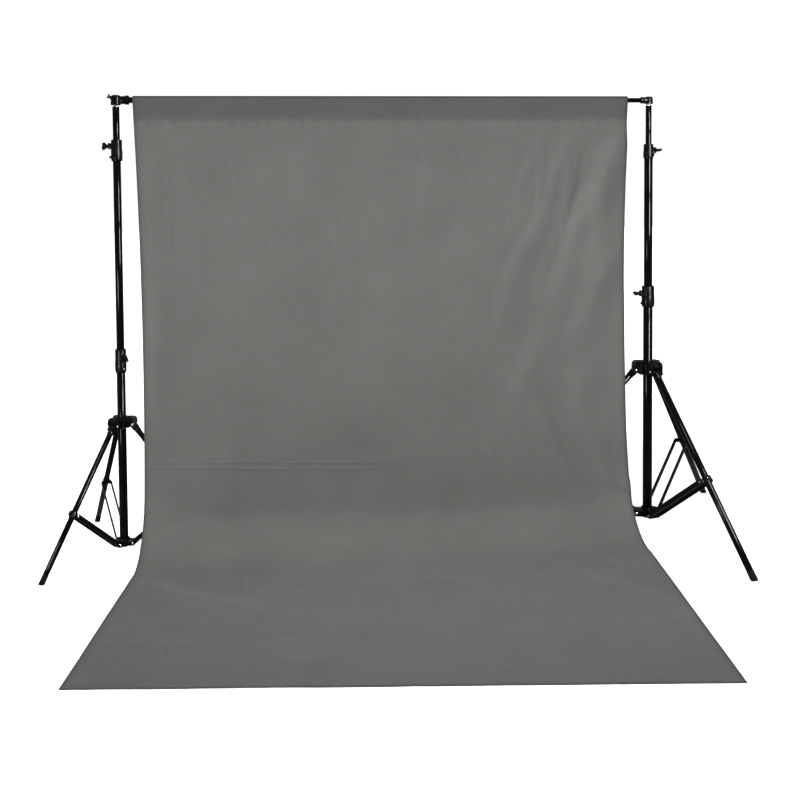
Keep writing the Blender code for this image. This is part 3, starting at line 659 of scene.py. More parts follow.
def foot_piece(side, number):
    """Rubber cap flush with the leg, with moulded grooves, a plug inside the tube and a flat tread."""
    pivot, heading, lean, length = leg_facts(side, number)
    radius = SIZES[side]["leg"]
    plug, skin = radius - 0.0018, radius + 0.0006
    top, tip = -length - 0.0003, -(length + FOOT_CAP + 0.020)
    profile = [(0, top + 0.030), (plug - 0.001, top + 0.030), (plug, top + 0.029), (plug, top), (skin - 0.0006, top),
               (skin, top - 0.0008)]
    for ring in range(4):
        z = top - 0.0040 - ring * 0.0062
        profile += [(skin, z), (skin - 0.0009, z - 0.0008), (skin - 0.0009, z - 0.0020), (skin, z - 0.0028)]
    profile += [(skin, tip), (0, tip)]
    place = heading_frame(pivot, heading, -lean)
    tread = place @ Vector((0, 0, tip + 0.020))
    floor_cut = brick((0.3, 0.3, 0.2), place.inverted() @ Matrix.Translation((*tread.xy, -0.1)))
    build(f"{side}_rubber_foot_{number}", "rubber", f"{side}_leg_{number}", lathe(profile, segments=36),
          cut=[floor_cut], bevel=0.0005, stands_for=[f"{side}_foot_{number}"], place=place)


def brace_pieces(side, number):
    """Two pressed straps with a stiffening rib, and their rivets."""
    joint = JOINTS[f"{side}_brace_{number}_pivot"]
    pivot = Vector(joint["pos_m"])
    heading = math.atan2(joint["axis"][0], -joint["axis"][1])
    node = body = f"{side}_brace_{number}"
    gap, thickness, width = (SIZES[side][key] for key in ("gap", "strap", "strap_width"))
    end = far_end(node, pivot)
    length = (end - pivot).length - width / 2
    lean = math.atan2((end - pivot).xy.length, end.z - pivot.z)
    place = heading_frame(pivot, heading, lean)
    round_end = width / 2 - 0.0002
    outline = arc(round_end, 0, 180, 14, (0, length)) + arc(round_end, 180, 360, 14)
    press = width * 0.17
    groove = arc(press, 0, 180, 8, (0, length - 0.034)) + arc(press, 180, 360, 8, (0, 0.034))
    for sign, (label, turn) in FACES.items():
        mid = sign * (gap + thickness / 2)
        strap = slab(outline, thickness - 0.0002, shifted(0, mid, 0, LYING_Y))
        pressed = slab(groove, 0.0016, shifted(0, mid + sign * thickness / 2, 0, LYING_Y))
        build(f"{side}_strap_{number}{label}", "black_tube", body, strap, cut=[pressed], bevel=0.0007,
              stands_for=[node], place=place)
    for sign, (label, turn) in FACES.items():
        face = sign * (gap + thickness - 0.0002)
        for tag, along in (("low", 0), ("high", length)):
            rivet(f"{side}_rivet_{number}_{tag}_{label}", body, place @ shifted(0, face, along, turn))
    pin = cylinder(0.0038, 2 * gap + 0.004, LYING_Y)
    build(f"{side}_brace_pin_{number}", "bright_steel", body, pin, bevel=0, place=place)


RIVET_DOME = [(0, 0.0026), (0.0030, 0.0023), (0.0055, 0.0013), (0.0070, 0), (0, 0)]
# The two faces of a leg's lug or strap: the letter in the piece's name and the turn of a rivet there.
FACES = {-1: ("a", LYING_Y), 1: ("b", Matrix.Rotation(-math.pi / 2, 4, "X"))}


def rivet(name, body, place):
    build(name, "bright_steel", body, lathe(RIVET_DOME, segments=24), bevel=0, place=place)


# ---------------------------------------------------------------- hubs
def hub_pieces(side):
    """Sliding leg hub: a ring with three channel lugs and bright rivets."""
    node, body = f"{side}_leg_hub", f"{side}_hub"
    low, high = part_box(node)
    radius = box_radius(f"{side}_lower_tube")
    inner, reach, leg_radius = (SIZES[side][key] for key in ("gap", "hub_reach", "leg"))
    cheek = 0.0045
    pivot = Vector(JOINTS[f"{side}_leg_1_pivot"]["pos_m"])
    pivot_run = (pivot.xy - AXIS[side].xy).length
    height, mid = high.z - low.z, (high.z + low.z) / 2
    drop = pivot.z - mid
    ring = lathe([(radius + 0.0070, height / 2), (radius + 0.009, height / 2 - 0.0020),
                  (radius + 0.009, -height / 2 + 0.0020), (radius + 0.0070, -height / 2),
                  (radius + 0.0006, -height / 2), (radius + 0.0006, height / 2)], True, 44)
    lugs, slots, ribs = [], [], []
    start = radius + 0.004
    slot_top = drop + leg_radius + 0.003
    bottom, top = -height / 2 + 0.003, height / 2 - 0.003
    rise = bottom + height * 0.20
    outline = ([(start, bottom), (radius + 0.018, bottom), (reach - 0.014, rise)]
               + arc(0.014, -60, 0, 6, (reach - 0.014, rise + 0.014))
               + arc(0.022, 0, 90, 10, (reach - 0.022, top - 0.022)) + [(start, top)])
    centre = Matrix.Translation((AXIS[side].x, AXIS[side].y, mid))
    for number in (1, 2, 3):
        turn = Matrix.Rotation(leg_facts(side, number)[1], 4, "Z")
        lugs.append(slab(outline, 2 * (inner + cheek), turn @ LYING_Y))
        slots.append(brick((reach, 2 * inner, height),
                           turn @ shifted(radius + 0.012 + reach / 2, 0, slot_top - height / 2)))
        for offset in (-0.5, 0.5):
            ribs.append(brick((reach - start - 0.024, 0.0030, 0.0030),
                              turn @ shifted((reach + start) / 2 - 0.010, offset * inner, top + 0.0004)))
    build(f"{side}_leg_hub_casting", "black_casting", body, ring, joined=lugs + ribs, cut=slots, bevel=0.0014,
          stands_for=[node], place=centre)
    for number in (1, 2, 3):
        turn = centre @ Matrix.Rotation(leg_facts(side, number)[1], 4, "Z")
        pin = cylinder(0.0040, 2 * (inner + cheek) - 0.001, LYING_Y)
        build(f"{side}_hub_pin_{number}", "bright_steel", body, pin, bevel=0,
              place=turn @ shifted(pivot_run, 0, drop))
        for sign, (label, lying) in FACES.items():
            rivet(f"{side}_hub_rivet_{number}_{label}", body,
                  turn @ shifted(pivot_run, sign * (inner + cheek - 0.0003), drop, lying))


def base_hub_piece(side):
    """The ring at the column's foot, with three lugs for the braces."""
    node = f"{side}_base_hub"
    low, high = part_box(node)
    radius = box_radius(f"{side}_lower_tube")
    joint = Vector(JOINTS[f"{side}_brace_1_pivot"]["pos_m"])
    pivot_run = (joint.xy - AXIS[side].xy).length
    half = SIZES[side]["gap"] - 0.0004
    top, bottom = high.z - joint.z, low.z - joint.z
    ring = lathe([(radius + 0.0075, top), (radius + 0.009, top - 0.0015), (radius + 0.009, bottom + 0.0015),
                  (radius + 0.0075, bottom), (radius + 0.0003, bottom), (radius + 0.0003, top)], True, 44)
    lugs, holes = [], []
    thick = SIZES[side]["lug_height"]
    start, end = radius + 0.004, pivot_run
    for number in (1, 2, 3):
        heading = leg_facts(side, number)[1]
        turn = Matrix.Rotation(heading, 4, "Z")
        outline = ([(start, -thick / 2), (end - 0.002, -thick / 2)]
                   + [(x, y * thick / 0.026) for x, y in arc(0.013, -90, 90, 10, (end, 0))]
                   + [(end - 0.002, thick / 2), (start, thick / 2)])
        lugs.append(slab(outline, 2 * half, turn @ LYING_Y))
        holes.append(cylinder(0.0044, 2 * half + 0.01, turn @ shifted(pivot_run, 0, 0, LYING_Y)))
    build(f"{side}_base_hub_casting", "black_casting", "root", ring, joined=lugs, cut=holes, bevel=0.0012,
          stands_for=[node], place=Matrix.Translation((AXIS[side].x, AXIS[side].y, joint.z)))


# ---------------------------------------------------------------- small turned pieces
def spigot_piece(side):
    node = f"{side}_spigot"
    low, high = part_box(node)
    tube_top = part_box(f"{side}_top_tube")[1].z
    flange = box_radius(f"{side}_top_tube") - 0.001
    plug = flange - 0.0008
    top = high.z
    profile = [(0, top), (0.0062, top), (0.0080, top - 0.0018), (0.0080, top - 0.010), (0.0068, top - 0.013),
               (0.0068, top - 0.018), (0.0080, top - 0.021), (0.0080, tube_top + 0.0060),
               (0.0092, tube_top + 0.0045), (flange - 0.0008, tube_top + 0.0035), (flange, tube_top + 0.0028),
               (flange, tube_top + 0.0004), (plug, tube_top + 0.0004), (plug, low.z), (0, low.z)]
    build(f"{side}_head_spigot", "bright_steel", "crossbar", lathe(profile, segments=40), bevel=0.0003,
          stands_for=[node], place=upright(AXIS[side]))


def plain_node(node, slot):
    """A CAD solid that stays, with its surface given the real finish."""
    piece = frame["nodes"][node]
    piece.data.materials.clear()
    piece.data.materials.append(MATERIALS[slot])


# ---------------------------------------------------------------- crossbar
BAR_LYING = Matrix.Rotation(math.pi / 2, 4, "Y")


def bar_sections():
    for name in ("left", "middle", "right"):
        node = f"bar_{name}_section"
        low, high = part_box(node)
        radius, wall = (high.z - low.z) / 2, 0.0014
        half = (high.x - low.x) / 2
        profile = [(radius - 0.0007, half), (radius, half - 0.0007), (radius, -half + 0.0007),
                   (radius - 0.0007, -half), (radius - wall, -half), (radius - wall, half)]
        turned = Matrix.Translation(((low.x + high.x) / 2, BAR_Y, BAR_Z)) @ Matrix.Rotation(-math.pi / 2, 4, "Y")
        cuts = []
        for number in (1, 2):
            button = middle(f"bar_snap_button_{number}")
            if low.x < button.x < high.x:
                cuts.append(cylinder(0.0039, 0.030,
                                     shifted(0, 0.016, -(button.x - (low.x + high.x) / 2), LYING_Y), 20))
        build(f"bar_{name}_tube", "black_tube", "crossbar", lathe(profile, True, 44), cut=cuts, bevel=0,
              stands_for=[node], place=turned)


def stop_ring_piece():
    low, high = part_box("bar_stop_ring")
    half, outer = (high.x - low.x) / 2, (high.z - low.z) / 2
    inner = 0.0168
    profile = [(outer - 0.003, half), (outer, half - 0.003), (outer, half - 0.007), (outer - 0.0014, half - 0.008),
               (outer - 0.0014, -half + 0.008), (outer, -half + 0.007), (outer, -half + 0.003),
               (outer - 0.003, -half), (inner, -half), (inner, half)]
    screw_hole = cylinder(0.0035, 0.02, shifted(0, -outer, 0, LYING_Y), 20)
    build("bar_stop_collar", "black_plastic", "crossbar", lathe(profile, True, 44), cut=[screw_hole],
          bevel=0.0006, stands_for=["bar_stop_ring"],
          place=Matrix.Translation(((low.x + high.x) / 2, BAR_Y, BAR_Z)) @ BAR_LYING)


def end_fitting_piece(side):
    """A cast head over the spigot with a socket for the bar and a boss for the bolt."""
    node = f"bar_{side}_end_fitting"
    low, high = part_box(node)
    inward = 1 if side == "left" else -1
    h, radius = (high.z - low.z) / 2, (high.y - low.y) / 2
    bar_low, bar_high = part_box(f"bar_{side}_section")
    bar_radius = (bar_high.z - bar_low.z) / 2
    crown = 0.016 if side == "left" else 0.013
    head = lathe([(0, h), (radius - crown, h)]
                 + [(r, z) for r, z in reversed(arc(crown, 0, 80, 7, (radius - crown, h - crown)))]
                 + [(radius - 0.0014, h - crown - 0.002), (radius - 0.0014, -h + 0.016), (radius, -h + 0.014),
                    (radius, -h + 0.003), (radius - 0.003, -h), (0, -h)], segments=44)
    along = 0.046
    lip = bar_radius + 0.006
    socket = lathe([(0, along), (lip - 0.0012, along), (lip, along - 0.0012), (lip, along - 0.010),
                    (lip - 0.001, along - 0.012), (lip - 0.001, 0.004), (0, 0.004)], segments=40,
                   place=Matrix.Rotation(inward * math.pi / 2, 4, "Y"))
    seat = cylinder(bar_radius + 0.0003, 0.030, shifted(inward * 0.0407, 0, 0, LYING_X), 40)
    bore = cylinder(0.0086, 0.040, shifted(0, 0, -0.013), 32)
    place, face = bolt_place(side)
    turn = place.to_3x3().to_4x4()
    bolt_boss = cylinder(0.0095, 0.010, turn @ shifted(0, 0, face - 0.0068), 28)
    bolt_hole = cylinder(0.0049, 0.022, turn @ shifted(0, 0, face - 0.007), 24)
    build(f"bar_{side}_head", "black_casting", "crossbar", head, joined=[socket, bolt_boss],
          cut=[seat, bore, bolt_hole], bevel=0.0009, stands_for=[node],
          place=Matrix.Translation((AXIS[side].x, BAR_Y, BAR_Z)))


def bolt_place(side):
    """Where a wing bolt's foot is, with Z along the bolt, and how far it is from the fitting's middle."""
    joint = JOINTS[f"{side}_wing_bolt_turn"]
    foot = Vector(joint["pos_m"])
    out = foot - Vector((AXIS[side].x, BAR_Y, BAR_Z))
    turn = (Matrix.Rotation(math.atan2(out.x, out.z), 4, "Y") if side == "left"
            else Matrix.Rotation(-math.pi / 2, 4, "X"))
    return Matrix.Translation(foot) @ turn, out.length


def wing_bolt_piece(side):
    """A small cast thumb screw with two lobes."""
    place, face = bolt_place(side)
    hub = lathe([(0, 0.0112), (0.0048, 0.0112), (0.0060, 0.0100), (0.0070, 0.0022), (0.0070, 0.0014),
                 (0.0044, 0.0012), (0.0044, -0.0160), (0.0036, -0.0167), (0, -0.0167)], segments=32)
    wings = []
    for sign in (-1, 1):
        outline = [(sign * x, z) for x, z in [(0.002, 0.0042), (0.007, 0.0045)]
                   + arc(0.0046, -60, 150, 9, (0.0082, 0.0097)) + [(0.002, 0.0100)]]
        wings.append(slab(outline, 0.0034, LYING_Y))
    build(f"bar_{side}_wing_screw", "black_casting", f"{side}_wing_bolt", hub, joined=wings, bevel=0.0007,
          stands_for=[f"bar_{side}_wing_bolt"], place=place)


# ---------------------------------------------------------------- backdrop cloth
CLOTH_WIDTH = 2.79                      # the cut, before it was hung
CLOTH_COLUMNS = 116                     # cells across the sheet that hangs in the simulation
CLOTH_HALF = 0.0005                     # half the cloth's thickness
HEM_WIDTH, HEM_STEP = 0.020, 0.0009     # a turned hem makes the sheet thicker towards the back
POCKET_RADIUS = 0.0225
POCKET_DEPTH = 0.115
POCKET_SEAM = BAR.z - POCKET_DEPTH
CLOTH_FLOOR = 0.0018
COVE_REACH = 0.300
COVE_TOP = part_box("backdrop_sweep")[1].z
WALL_FOOT_OFFSET = -0.095
WALL_EDGES_TOP = (-1.408, 1.371)
WALL_EDGES_MIDDLE = (-1.374, 1.331)
WALL_EDGES_FOOT = (-1.373, 1.368)
COVE_EDGES = (-1.392, 1.392)
FRONT_LEFT = Vector((MIDDLE_X - 1.507, BAR_Y - 1.654))
FRONT_RIGHT = Vector((MIDDLE_X + 1.270, BAR_Y - 1.913))
FLAP_ROWS, POCKET_ROWS, WALL_ROWS, COVE_ROWS, FLOOR_ROWS = 5, 10, 104, 22, 76
FIRST_WALL_ROW = FLAP_ROWS + POCKET_ROWS
DRAPE_FRAMES = 22
DRAPE_LIMIT = 0.007                     # how far the simulation may move a point
# Drape folds on the wall: two ends as (across, height), half width and height of the fold.
WALL_FOLDS = (((1.315, 2.330), (1.000, 1.740), 0.050, 0.0185), ((1.205, 2.160), (1.085, 1.400), 0.060, 0.0170),
              ((1.030, 2.330), (0.720, 1.620), 0.042, 0.0120), ((0.900, 2.330), (0.690, 1.960), 0.036, 0.0080),
              ((0.745, 1.780), (0.560, 1.180), 0.050, 0.0090), ((1.120, 1.980), (0.860, 1.330), 0.045, 0.0110),
              ((1.260, 1.640), (0.980, 1.130), 0.045, 0.0120), ((1.065, 1.020), (1.050, 0.520), 0.050, 0.0075),
              ((0.900, 1.300), (0.640, 0.780), 0.060, 0.0080), ((-1.180, 2.250), (-1.060, 1.300), 0.065, 0.0045),
              ((-0.520, 2.280), (-0.560, 1.500), 0.070, 0.0035), ((0.180, 2.300), (0.120, 1.560), 0.060, 0.0035),
              ((1.330, 1.500), (1.300, 0.500), 0.040, 0.0080), ((-1.330, 1.900), (-1.335, 0.700), 0.040, 0.0050))
# Pressed creases: where they run, as (across, height) on the wall or (across, depth) on the floor.
WALL_CREASES = (((-1.40, 0.513), (0.10, 0.462)), ((-1.40, 0.478), (0.10, 0.428)))
FLOOR_CREASES = (((-1.45, -1.190), (-0.45, -1.280)), ((0.20, -0.640), (1.30, -0.600)))
FLOOR_FOLDS = (((-1.30, -0.50), (-0.70, -0.95), 0.045, 0.0060), ((0.90, -0.52), (1.25, -1.05), 0.050, 0.0060),
               ((-0.20, -0.60), (0.60, -0.66), 0.060, 0.0040), ((-0.90, -1.45), (0.10, -1.52), 0.050, 0.0035))


def smooth(value, low, high):
    t = np.clip((np.asarray(value, float) - low) / (high - low), 0.0, 1.0)
    return t * t * (3 - 2 * t)


def edges_at(z):
    """Left and right edge of the cloth at a height on the wall or in the cove."""
    if z >= COVE_TOP:
        share = min(1.0, (z - COVE_TOP) / (BAR.z - COVE_TOP))
        edges = []
        for foot, half, top in zip(WALL_EDGES_FOOT, WALL_EDGES_MIDDLE, WALL_EDGES_TOP):
            bend = 2 * foot + 2 * top - 4 * half
            edges.append(foot + (top - foot - bend) * share + bend * share * share)
    else:
        turn = math.asin(min(1.0, (COVE_TOP - z) / (COVE_TOP - CLOTH_FLOOR))) / (math.pi / 2)
        edges = [foot + (cove - foot) * turn for foot, cove in zip(WALL_EDGES_FOOT, COVE_EDGES)]
    return [edge + MIDDLE_X for edge in edges]


def wall_y(z):
    share = (BAR.z - z) / (BAR.z - COVE_TOP)
    return BAR_Y - POCKET_RADIUS + share * (WALL_FOOT_OFFSET + POCKET_RADIUS)


def smooth_sheet():
    """The sheet without folds: pocket flap, pocket, wall, cove and floor, as rows of points."""
    front, back = wall_y(POCKET_SEAM) + 0.0030, BAR_Y + POCKET_RADIUS
    path = []
    for step in range(FLAP_ROWS):
        z = POCKET_SEAM - 0.012 + (POCKET_DEPTH + 0.012) * step / FLAP_ROWS
        path.append((front + (back - front) * float(smooth(z, POCKET_SEAM, BAR.z)), z))
    for step in range(POCKET_ROWS):
        angle = math.pi * step / POCKET_ROWS
        path.append((BAR_Y + POCKET_RADIUS * math.cos(angle), BAR.z + POCKET_RADIUS * math.sin(angle)))
    for step in range(WALL_ROWS + 1):
        z = BAR.z + (COVE_TOP - BAR.z) * step / WALL_ROWS
        path.append((wall_y(z), z))
    foot_y = path[-1][0]
    for step in range(1, COVE_ROWS + 1):
        angle = math.pi / 2 * step / COVE_ROWS
        path.append((foot_y - COVE_REACH * (1 - math.cos(angle)),
                     COVE_TOP - (COVE_TOP - CLOTH_FLOOR) * math.sin(angle)))
    across = np.linspace(0, 1, CLOTH_COLUMNS + 1)[:, None]
    rows = []
    for y, z in path:
        left, right = (np.array((edge, y, z)) for edge in edges_at(z))
        rows.append(left + (right - left) * across)
    cove_left, cove_right = rows[-1][0], rows[-1][-1]
    for step in range(1, FLOOR_ROWS + 1):
        share = step / FLOOR_ROWS
        left = cove_left + (np.array((*FRONT_LEFT, CLOTH_FLOOR)) - cove_left) * share
        right = cove_right + (np.array((*FRONT_RIGHT, CLOTH_FLOOR)) - cove_right) * share
        rows.append(left + (right - left) * across)
    return np.array(rows)


def sheet_normals(grid):
    """Unit normals of a sheet of points, on the side that faces forwards and up."""
    along, across = np.gradient(grid, axis=0), np.gradient(grid, axis=1)
    normals = np.cross(along, across)
    return normals / np.maximum(np.linalg.norm(normals, axis=2, keepdims=True), 1e-12)


def along_and_off(x, y, start, end):
    """Share of the way from start to end, distance off that line, and the line's length."""
    run = np.array(end, float) - np.array(start, float)
    length = np.hypot(*run)
    along = ((x - start[0]) * run[0] + (y - start[1]) * run[1]) / length ** 2
    off = ((x - start[0]) * run[1] - (y - start[1]) * run[0]) / length
    return along, off, length


def ridge(x, y, start, end, half_width, height):
    """A soft fold along a line, with a shallow valley on either side and faded ends."""
    along, off, length = along_and_off(x, y, start, end)
    off = off + 0.75 * half_width + 0.30 * half_width * np.sin(9 * along * length + 3 * start[0])
    fade = smooth(along, -0.12, 0.22) * (1 - smooth(along, 0.62, 1.18))
    lit, shaded = (off / (scale * half_width) for scale in (0.75, 1.50))
    shape = np.exp(-np.where(off > 0, lit, shaded) ** 2 / 2) - 0.30 * np.exp(-off ** 2 / (10 * half_width ** 2))
    return height * 1.5 * fade * shape


def crease(x, y, start, end, width, height):
    """A sharp pressed line that fades out at its ends."""
    along, off, _ = along_and_off(x, y, start, end)
    fade = smooth(along, 0.0, 0.05) * (1 - smooth(along, 0.80, 1.0))
    return height * fade * np.exp(-np.abs(off) / width)


def waves(x, y, scale_x, scale_y, seed, octaves=1):
    """Smooth, repeatable unevenness from -1 to 1."""
    flat = [noise.fractal(Vector((a * scale_x, b * scale_y, seed)), 1.0, 2.0, octaves)
            for a, b in zip(x.ravel(), y.ravel())]
    return np.array(flat).reshape(x.shape)


def sheet_zones(grid):
    """How much of a point is free wall and how much is floor, from 0 to 1."""
    row = np.arange(len(grid))[:, None] * np.ones(grid.shape[1])[None, :]
    last_wall, last_cove = FIRST_WALL_ROW + WALL_ROWS, FIRST_WALL_ROW + WALL_ROWS + COVE_ROWS
    seam_row = FIRST_WALL_ROW + WALL_ROWS * POCKET_DEPTH / (BAR.z - COVE_TOP)
    wall = smooth(row, seam_row, seam_row + 7) * (1 - smooth(row, last_wall, last_cove))
    return wall, smooth(row, last_wall + 6, last_cove)


def pulled_corner(x, z):
    """Places across and along the pull towards the right stand, and how strong the pull is there."""
    strength = np.exp(-((x - 1.02) / 0.36) ** 2 - ((z - 1.75) / 0.62) ** 2)
    return 0.88 * x - 0.47 * z, 0.47 * x + 0.88 * z, strength


def drape_folds(grid):
    """Height of the drape folds over the smooth sheet."""
    wall, floor = sheet_zones(grid)
    x, y, z = grid[..., 0] - MIDDLE_X, grid[..., 1] - BAR_Y, grid[..., 2]
    lift = np.zeros(x.shape)
    for start, end, half_width, height in WALL_FOLDS:
        lift += wall * ridge(x, z, start, end, half_width, height)
    lift += wall * (0.0050 * waves(x, z, 1.1, 0.6, 4.0) + 0.0028 * waves(x, z, 5.0, 1.1, 9.0))
    lift += wall * 0.030 * smooth(x, 0.75, 1.36) * smooth(z, 0.5, 1.3)
    across, along, pulled = pulled_corner(x, z)
    lift += wall * pulled * 0.0060 * waves(across, along, 6.5, 1.2, 41.0)
    ground = np.zeros(x.shape)
    for start, end, half_width, height in FLOOR_FOLDS:
        ground += ridge(x, y, start, end, half_width, height)
    ground += 0.0016 * waves(x, y, 3.0, 2.0, 15.0, 2) + 0.0012
    return lift + floor * np.maximum(ground, 0.0)


def hang_sheet(grid):
    """Lets the folded sheet hang under its own weight from the bar and settle on the floor."""
    rows, columns = grid.shape[:2]
    mesh = bpy.data.meshes.new("hanging_sheet")
    faces = [(r * columns + c, (r + 1) * columns + c, (r + 1) * columns + c + 1, r * columns + c + 1)
             for r in range(rows - 1) for c in range(columns - 1)]
    mesh.from_pydata(grid.reshape(-1, 3).tolist(), [], faces)
    hanging = bpy.data.objects.new("hanging_sheet", mesh)
    ground_shape = bmesh.new()
    bmesh.ops.create_grid(ground_shape, x_segments=1, y_segments=1, size=6)
    ground = raw_object("hanging_ground", ground_shape)
    bpy.context.scene.collection.objects.link(hanging)
    wall, floor = sheet_zones(grid)
    hold = np.clip(1 - wall, 0, 1) * (1 - 0.55 * floor)
    hold = np.maximum(hold, 1 - smooth(np.arange(rows), FIRST_WALL_ROW + 2, FIRST_WALL_ROW + 5)[:, None])
    group = hanging.vertex_groups.new(name="hold")
    for index, weight in enumerate(np.broadcast_to(hold, grid.shape[:2]).ravel()):
        group.add([index], float(weight), "REPLACE")
    ground.modifiers.new("floor", "COLLISION")
    ground.collision.thickness_outer = 0.001
    cloth = hanging.modifiers.new("hang", "CLOTH")
    cloth.settings.quality = 6
    cloth.settings.mass = 0.06
    cloth.settings.tension_stiffness = cloth.settings.compression_stiffness = 60
    cloth.settings.shear_stiffness = 12
    cloth.settings.bending_stiffness = 0.6
    cloth.settings.air_damping = 4
    cloth.settings.vertex_group_mass = "hold"
    cloth.settings.pin_stiffness = 1.0
    cloth.collision_settings.distance_min = 0.001
    cloth.collision_settings.use_self_collision = False
    cloth.point_cache.frame_start, cloth.point_cache.frame_end = 1, DRAPE_FRAMES
    scene = bpy.context.scene
    for number in range(1, DRAPE_FRAMES + 1):
        scene.frame_set(number)
    graph = bpy.context.evaluated_depsgraph_get()
    settled = hanging.evaluated_get(graph).to_mesh()
    flat = np.empty(rows * columns * 3)
    settled.vertices.foreach_get("co", flat)
    hanging.evaluated_get(graph).to_mesh_clear()
    scene.frame_set(1)
    for done in (hanging, ground):
        bpy.data.objects.remove(done, do_unlink=True)
    moved = flat.reshape(grid.shape) - grid
    size = np.linalg.norm(moved, axis=2, keepdims=True)
    return grid + moved * np.minimum(1.0, DRAPE_LIMIT / np.maximum(size, 1e-9))


def resample(grid, places, axis):
    """Points between the rows or columns of a sheet, on smooth curves through them."""
    grid = np.moveaxis(grid, axis, 0)
    places = np.asarray(places, float)
    base = np.clip(np.floor(places).astype(int), 0, len(grid) - 2)
    t = (places - base).reshape((-1,) + (1,) * (grid.ndim - 1))
    before, after = np.clip(base - 1, 0, None), np.clip(base + 2, None, len(grid) - 1)
    a, b, c, d = grid[before], grid[base], grid[base + 1], grid[after]
    made = b + 0.5 * t * (c - a + t * (2 * a - 5 * b + 4 * c - d + t * (3 * (b - c) + d - a)))
    return np.moveaxis(made, 0, axis)


def crease_rows():
    """Extra places between the rows, where the sheet has a seam or a crease."""
    row_height = (BAR.z - COVE_TOP) / WALL_ROWS
    places = []
    for offset in (-0.0050, -0.0025, -0.0010, 0.0, 0.0010, 0.0025, 0.0050):
        places.append(FIRST_WALL_ROW + (BAR.z - POCKET_SEAM + offset) / row_height)
    for start, end in WALL_CREASES:
        first, last = (FIRST_WALL_ROW + (BAR.z - point[1]) / row_height for point in (start, end))
        places += list(np.arange(first - 0.5, last + 0.51, 0.25))
    return places


def fine_sheet():
    """The finished surface: its points, their place on the flat cloth and the hem's thickness."""
    grid = smooth_sheet()
    grid = grid + sheet_normals(grid) * drape_folds(grid)[..., None]
    grid = hang_sheet(grid)
    grid[..., 2] = np.maximum(grid[..., 2], CLOTH_FLOOR)
    step = 1.0 / CLOTH_WIDTH * CLOTH_COLUMNS
    hem = [0, 0.0012 * step, (HEM_WIDTH - 0.0006) * step, (HEM_WIDTH + 0.0012) * step]
    inner = np.arange(2, CLOTH_COLUMNS - 1.5, 0.5)
    columns = sorted(hem + list(inner) + [CLOTH_COLUMNS - place for place in hem])
    last = len(grid) - 1
    row_length = np.linalg.norm(grid[last, CLOTH_COLUMNS // 2] - grid[last - 1, CLOTH_COLUMNS // 2])
    hem_rows = [last - offset / row_length for offset in (0, 0.0012, HEM_WIDTH - 0.0006, HEM_WIDTH + 0.0012)]
    extra = crease_rows() + hem_rows
    regular = [place for place in np.arange(0, last - 1.2, 0.5) if min(abs(place - other) for other in extra) > 0.12]
    rows = sorted(regular + extra)
    fine = resample(resample(grid, rows, 0), columns, 1)
    steps = np.linalg.norm(np.diff(fine[:, fine.shape[1] // 2], axis=0), axis=1)
    down = np.concatenate(([0], np.cumsum(steps)))
    across = np.array(columns) / CLOTH_COLUMNS * CLOTH_WIDTH
    edge = np.minimum(across, CLOTH_WIDTH - across)[None, :] * np.ones(len(rows))[:, None]
    edge = np.minimum(edge, (down[-1] - down)[:, None])
    return fine, across, down, edge, np.array(rows)


def fine_relief(points, rows):
    """Pressed creases, the seam's tuck and small wrinkles, too fine for the simulation."""
    x, y, z = points[..., 0] - MIDDLE_X, points[..., 1] - BAR_Y, points[..., 2]
    on_floor = smooth(COVE_TOP * 0.25 - z, 0.0, COVE_TOP * 0.2)
    wall_share = 1 - smooth(COVE_TOP - z, 0.0, 0.10)
    row = rows[:, None]
    in_front = smooth(row, FIRST_WALL_ROW - 0.5, FIRST_WALL_ROW + 0.5)
    relief = np.zeros(x.shape)
    for start, end in WALL_CREASES:
        relief += wall_share * crease(x, z, start, end, 0.0075, 0.0030)
    for start, end in FLOOR_CREASES:
        relief += on_floor * crease(x, y, start, end, 0.010, 0.0028)
    relief -= 0.0011 * np.exp(-((z - POCKET_SEAM) / 0.0018) ** 2)
    across, along, pulled = pulled_corner(x, z)
    relief += wall_share * pulled * 0.0022 * waves(across, along, 15.0, 2.4, 47.0)
    wrinkle = 0.0007 * waves(x, z + 0.8 * y, 9.0, 7.0, 21.0, 3) + 0.0004 * waves(x, z + 0.8 * y, 24.0, 16.0, 33.0, 2)
    relief += wrinkle * smooth(POCKET_SEAM - z, -0.02, 0.08) + np.where(on_floor > 0, 0.0004, 0.0)
    pull = 0.0016 * np.sin(x * 2 * math.pi / 0.071 + 1.7 * np.sin(x * 9.1)) * np.exp(-np.abs(z - POCKET_SEAM) / 0.022)
    return (relief + pull * smooth(BAR.z - 0.035 - z, 0, 0.03)) * in_front


def painted_cloth_shade(points, edge, rows):
    """Painted shade on the cloth, not its dye: darker over the doubled pocket, much darker over the crown of the bar,
    a little darker in the hems and dark along the turned edges.
    """
    z = points[..., 2]
    # painted shade: the pocket band is darkened
    pocket_shade = smooth(z, POCKET_SEAM - 0.020, POCKET_SEAM + 0.030)
    # painted shade where the cloth curves over the top of the bar
    crown = smooth(z, BAR_Z + 0.009, BAR_Z + 0.018)
    # painted shade along the hems
    hem = 1 - smooth(edge, HEM_WIDTH, HEM_WIDTH + 0.004)
    # painted shadow along the turned outer edges
    turned = 1 - smooth(edge, 0.003, 0.010)
    return (1 - 0.26 * pocket_shade) * (1 - 0.50 * crown) * (1 - 0.10 * hem) * (1 - 0.45 * turned)


def stitch_lines(fine, normals, columns_at, rows_at):
    """Lines of points on the front surface where the sewing thread shows."""
    lines = []
    for column in columns_at:
        lines.append((fine[:, column] + normals[:, column] * CLOTH_HALF, normals[:, column]))
    for row in rows_at:
        lines.append((fine[row] + normals[row] * CLOTH_HALF, normals[row]))
    return lines


STITCH, STITCH_GAP, THREAD = 0.0032, 0.0013, 0.00028


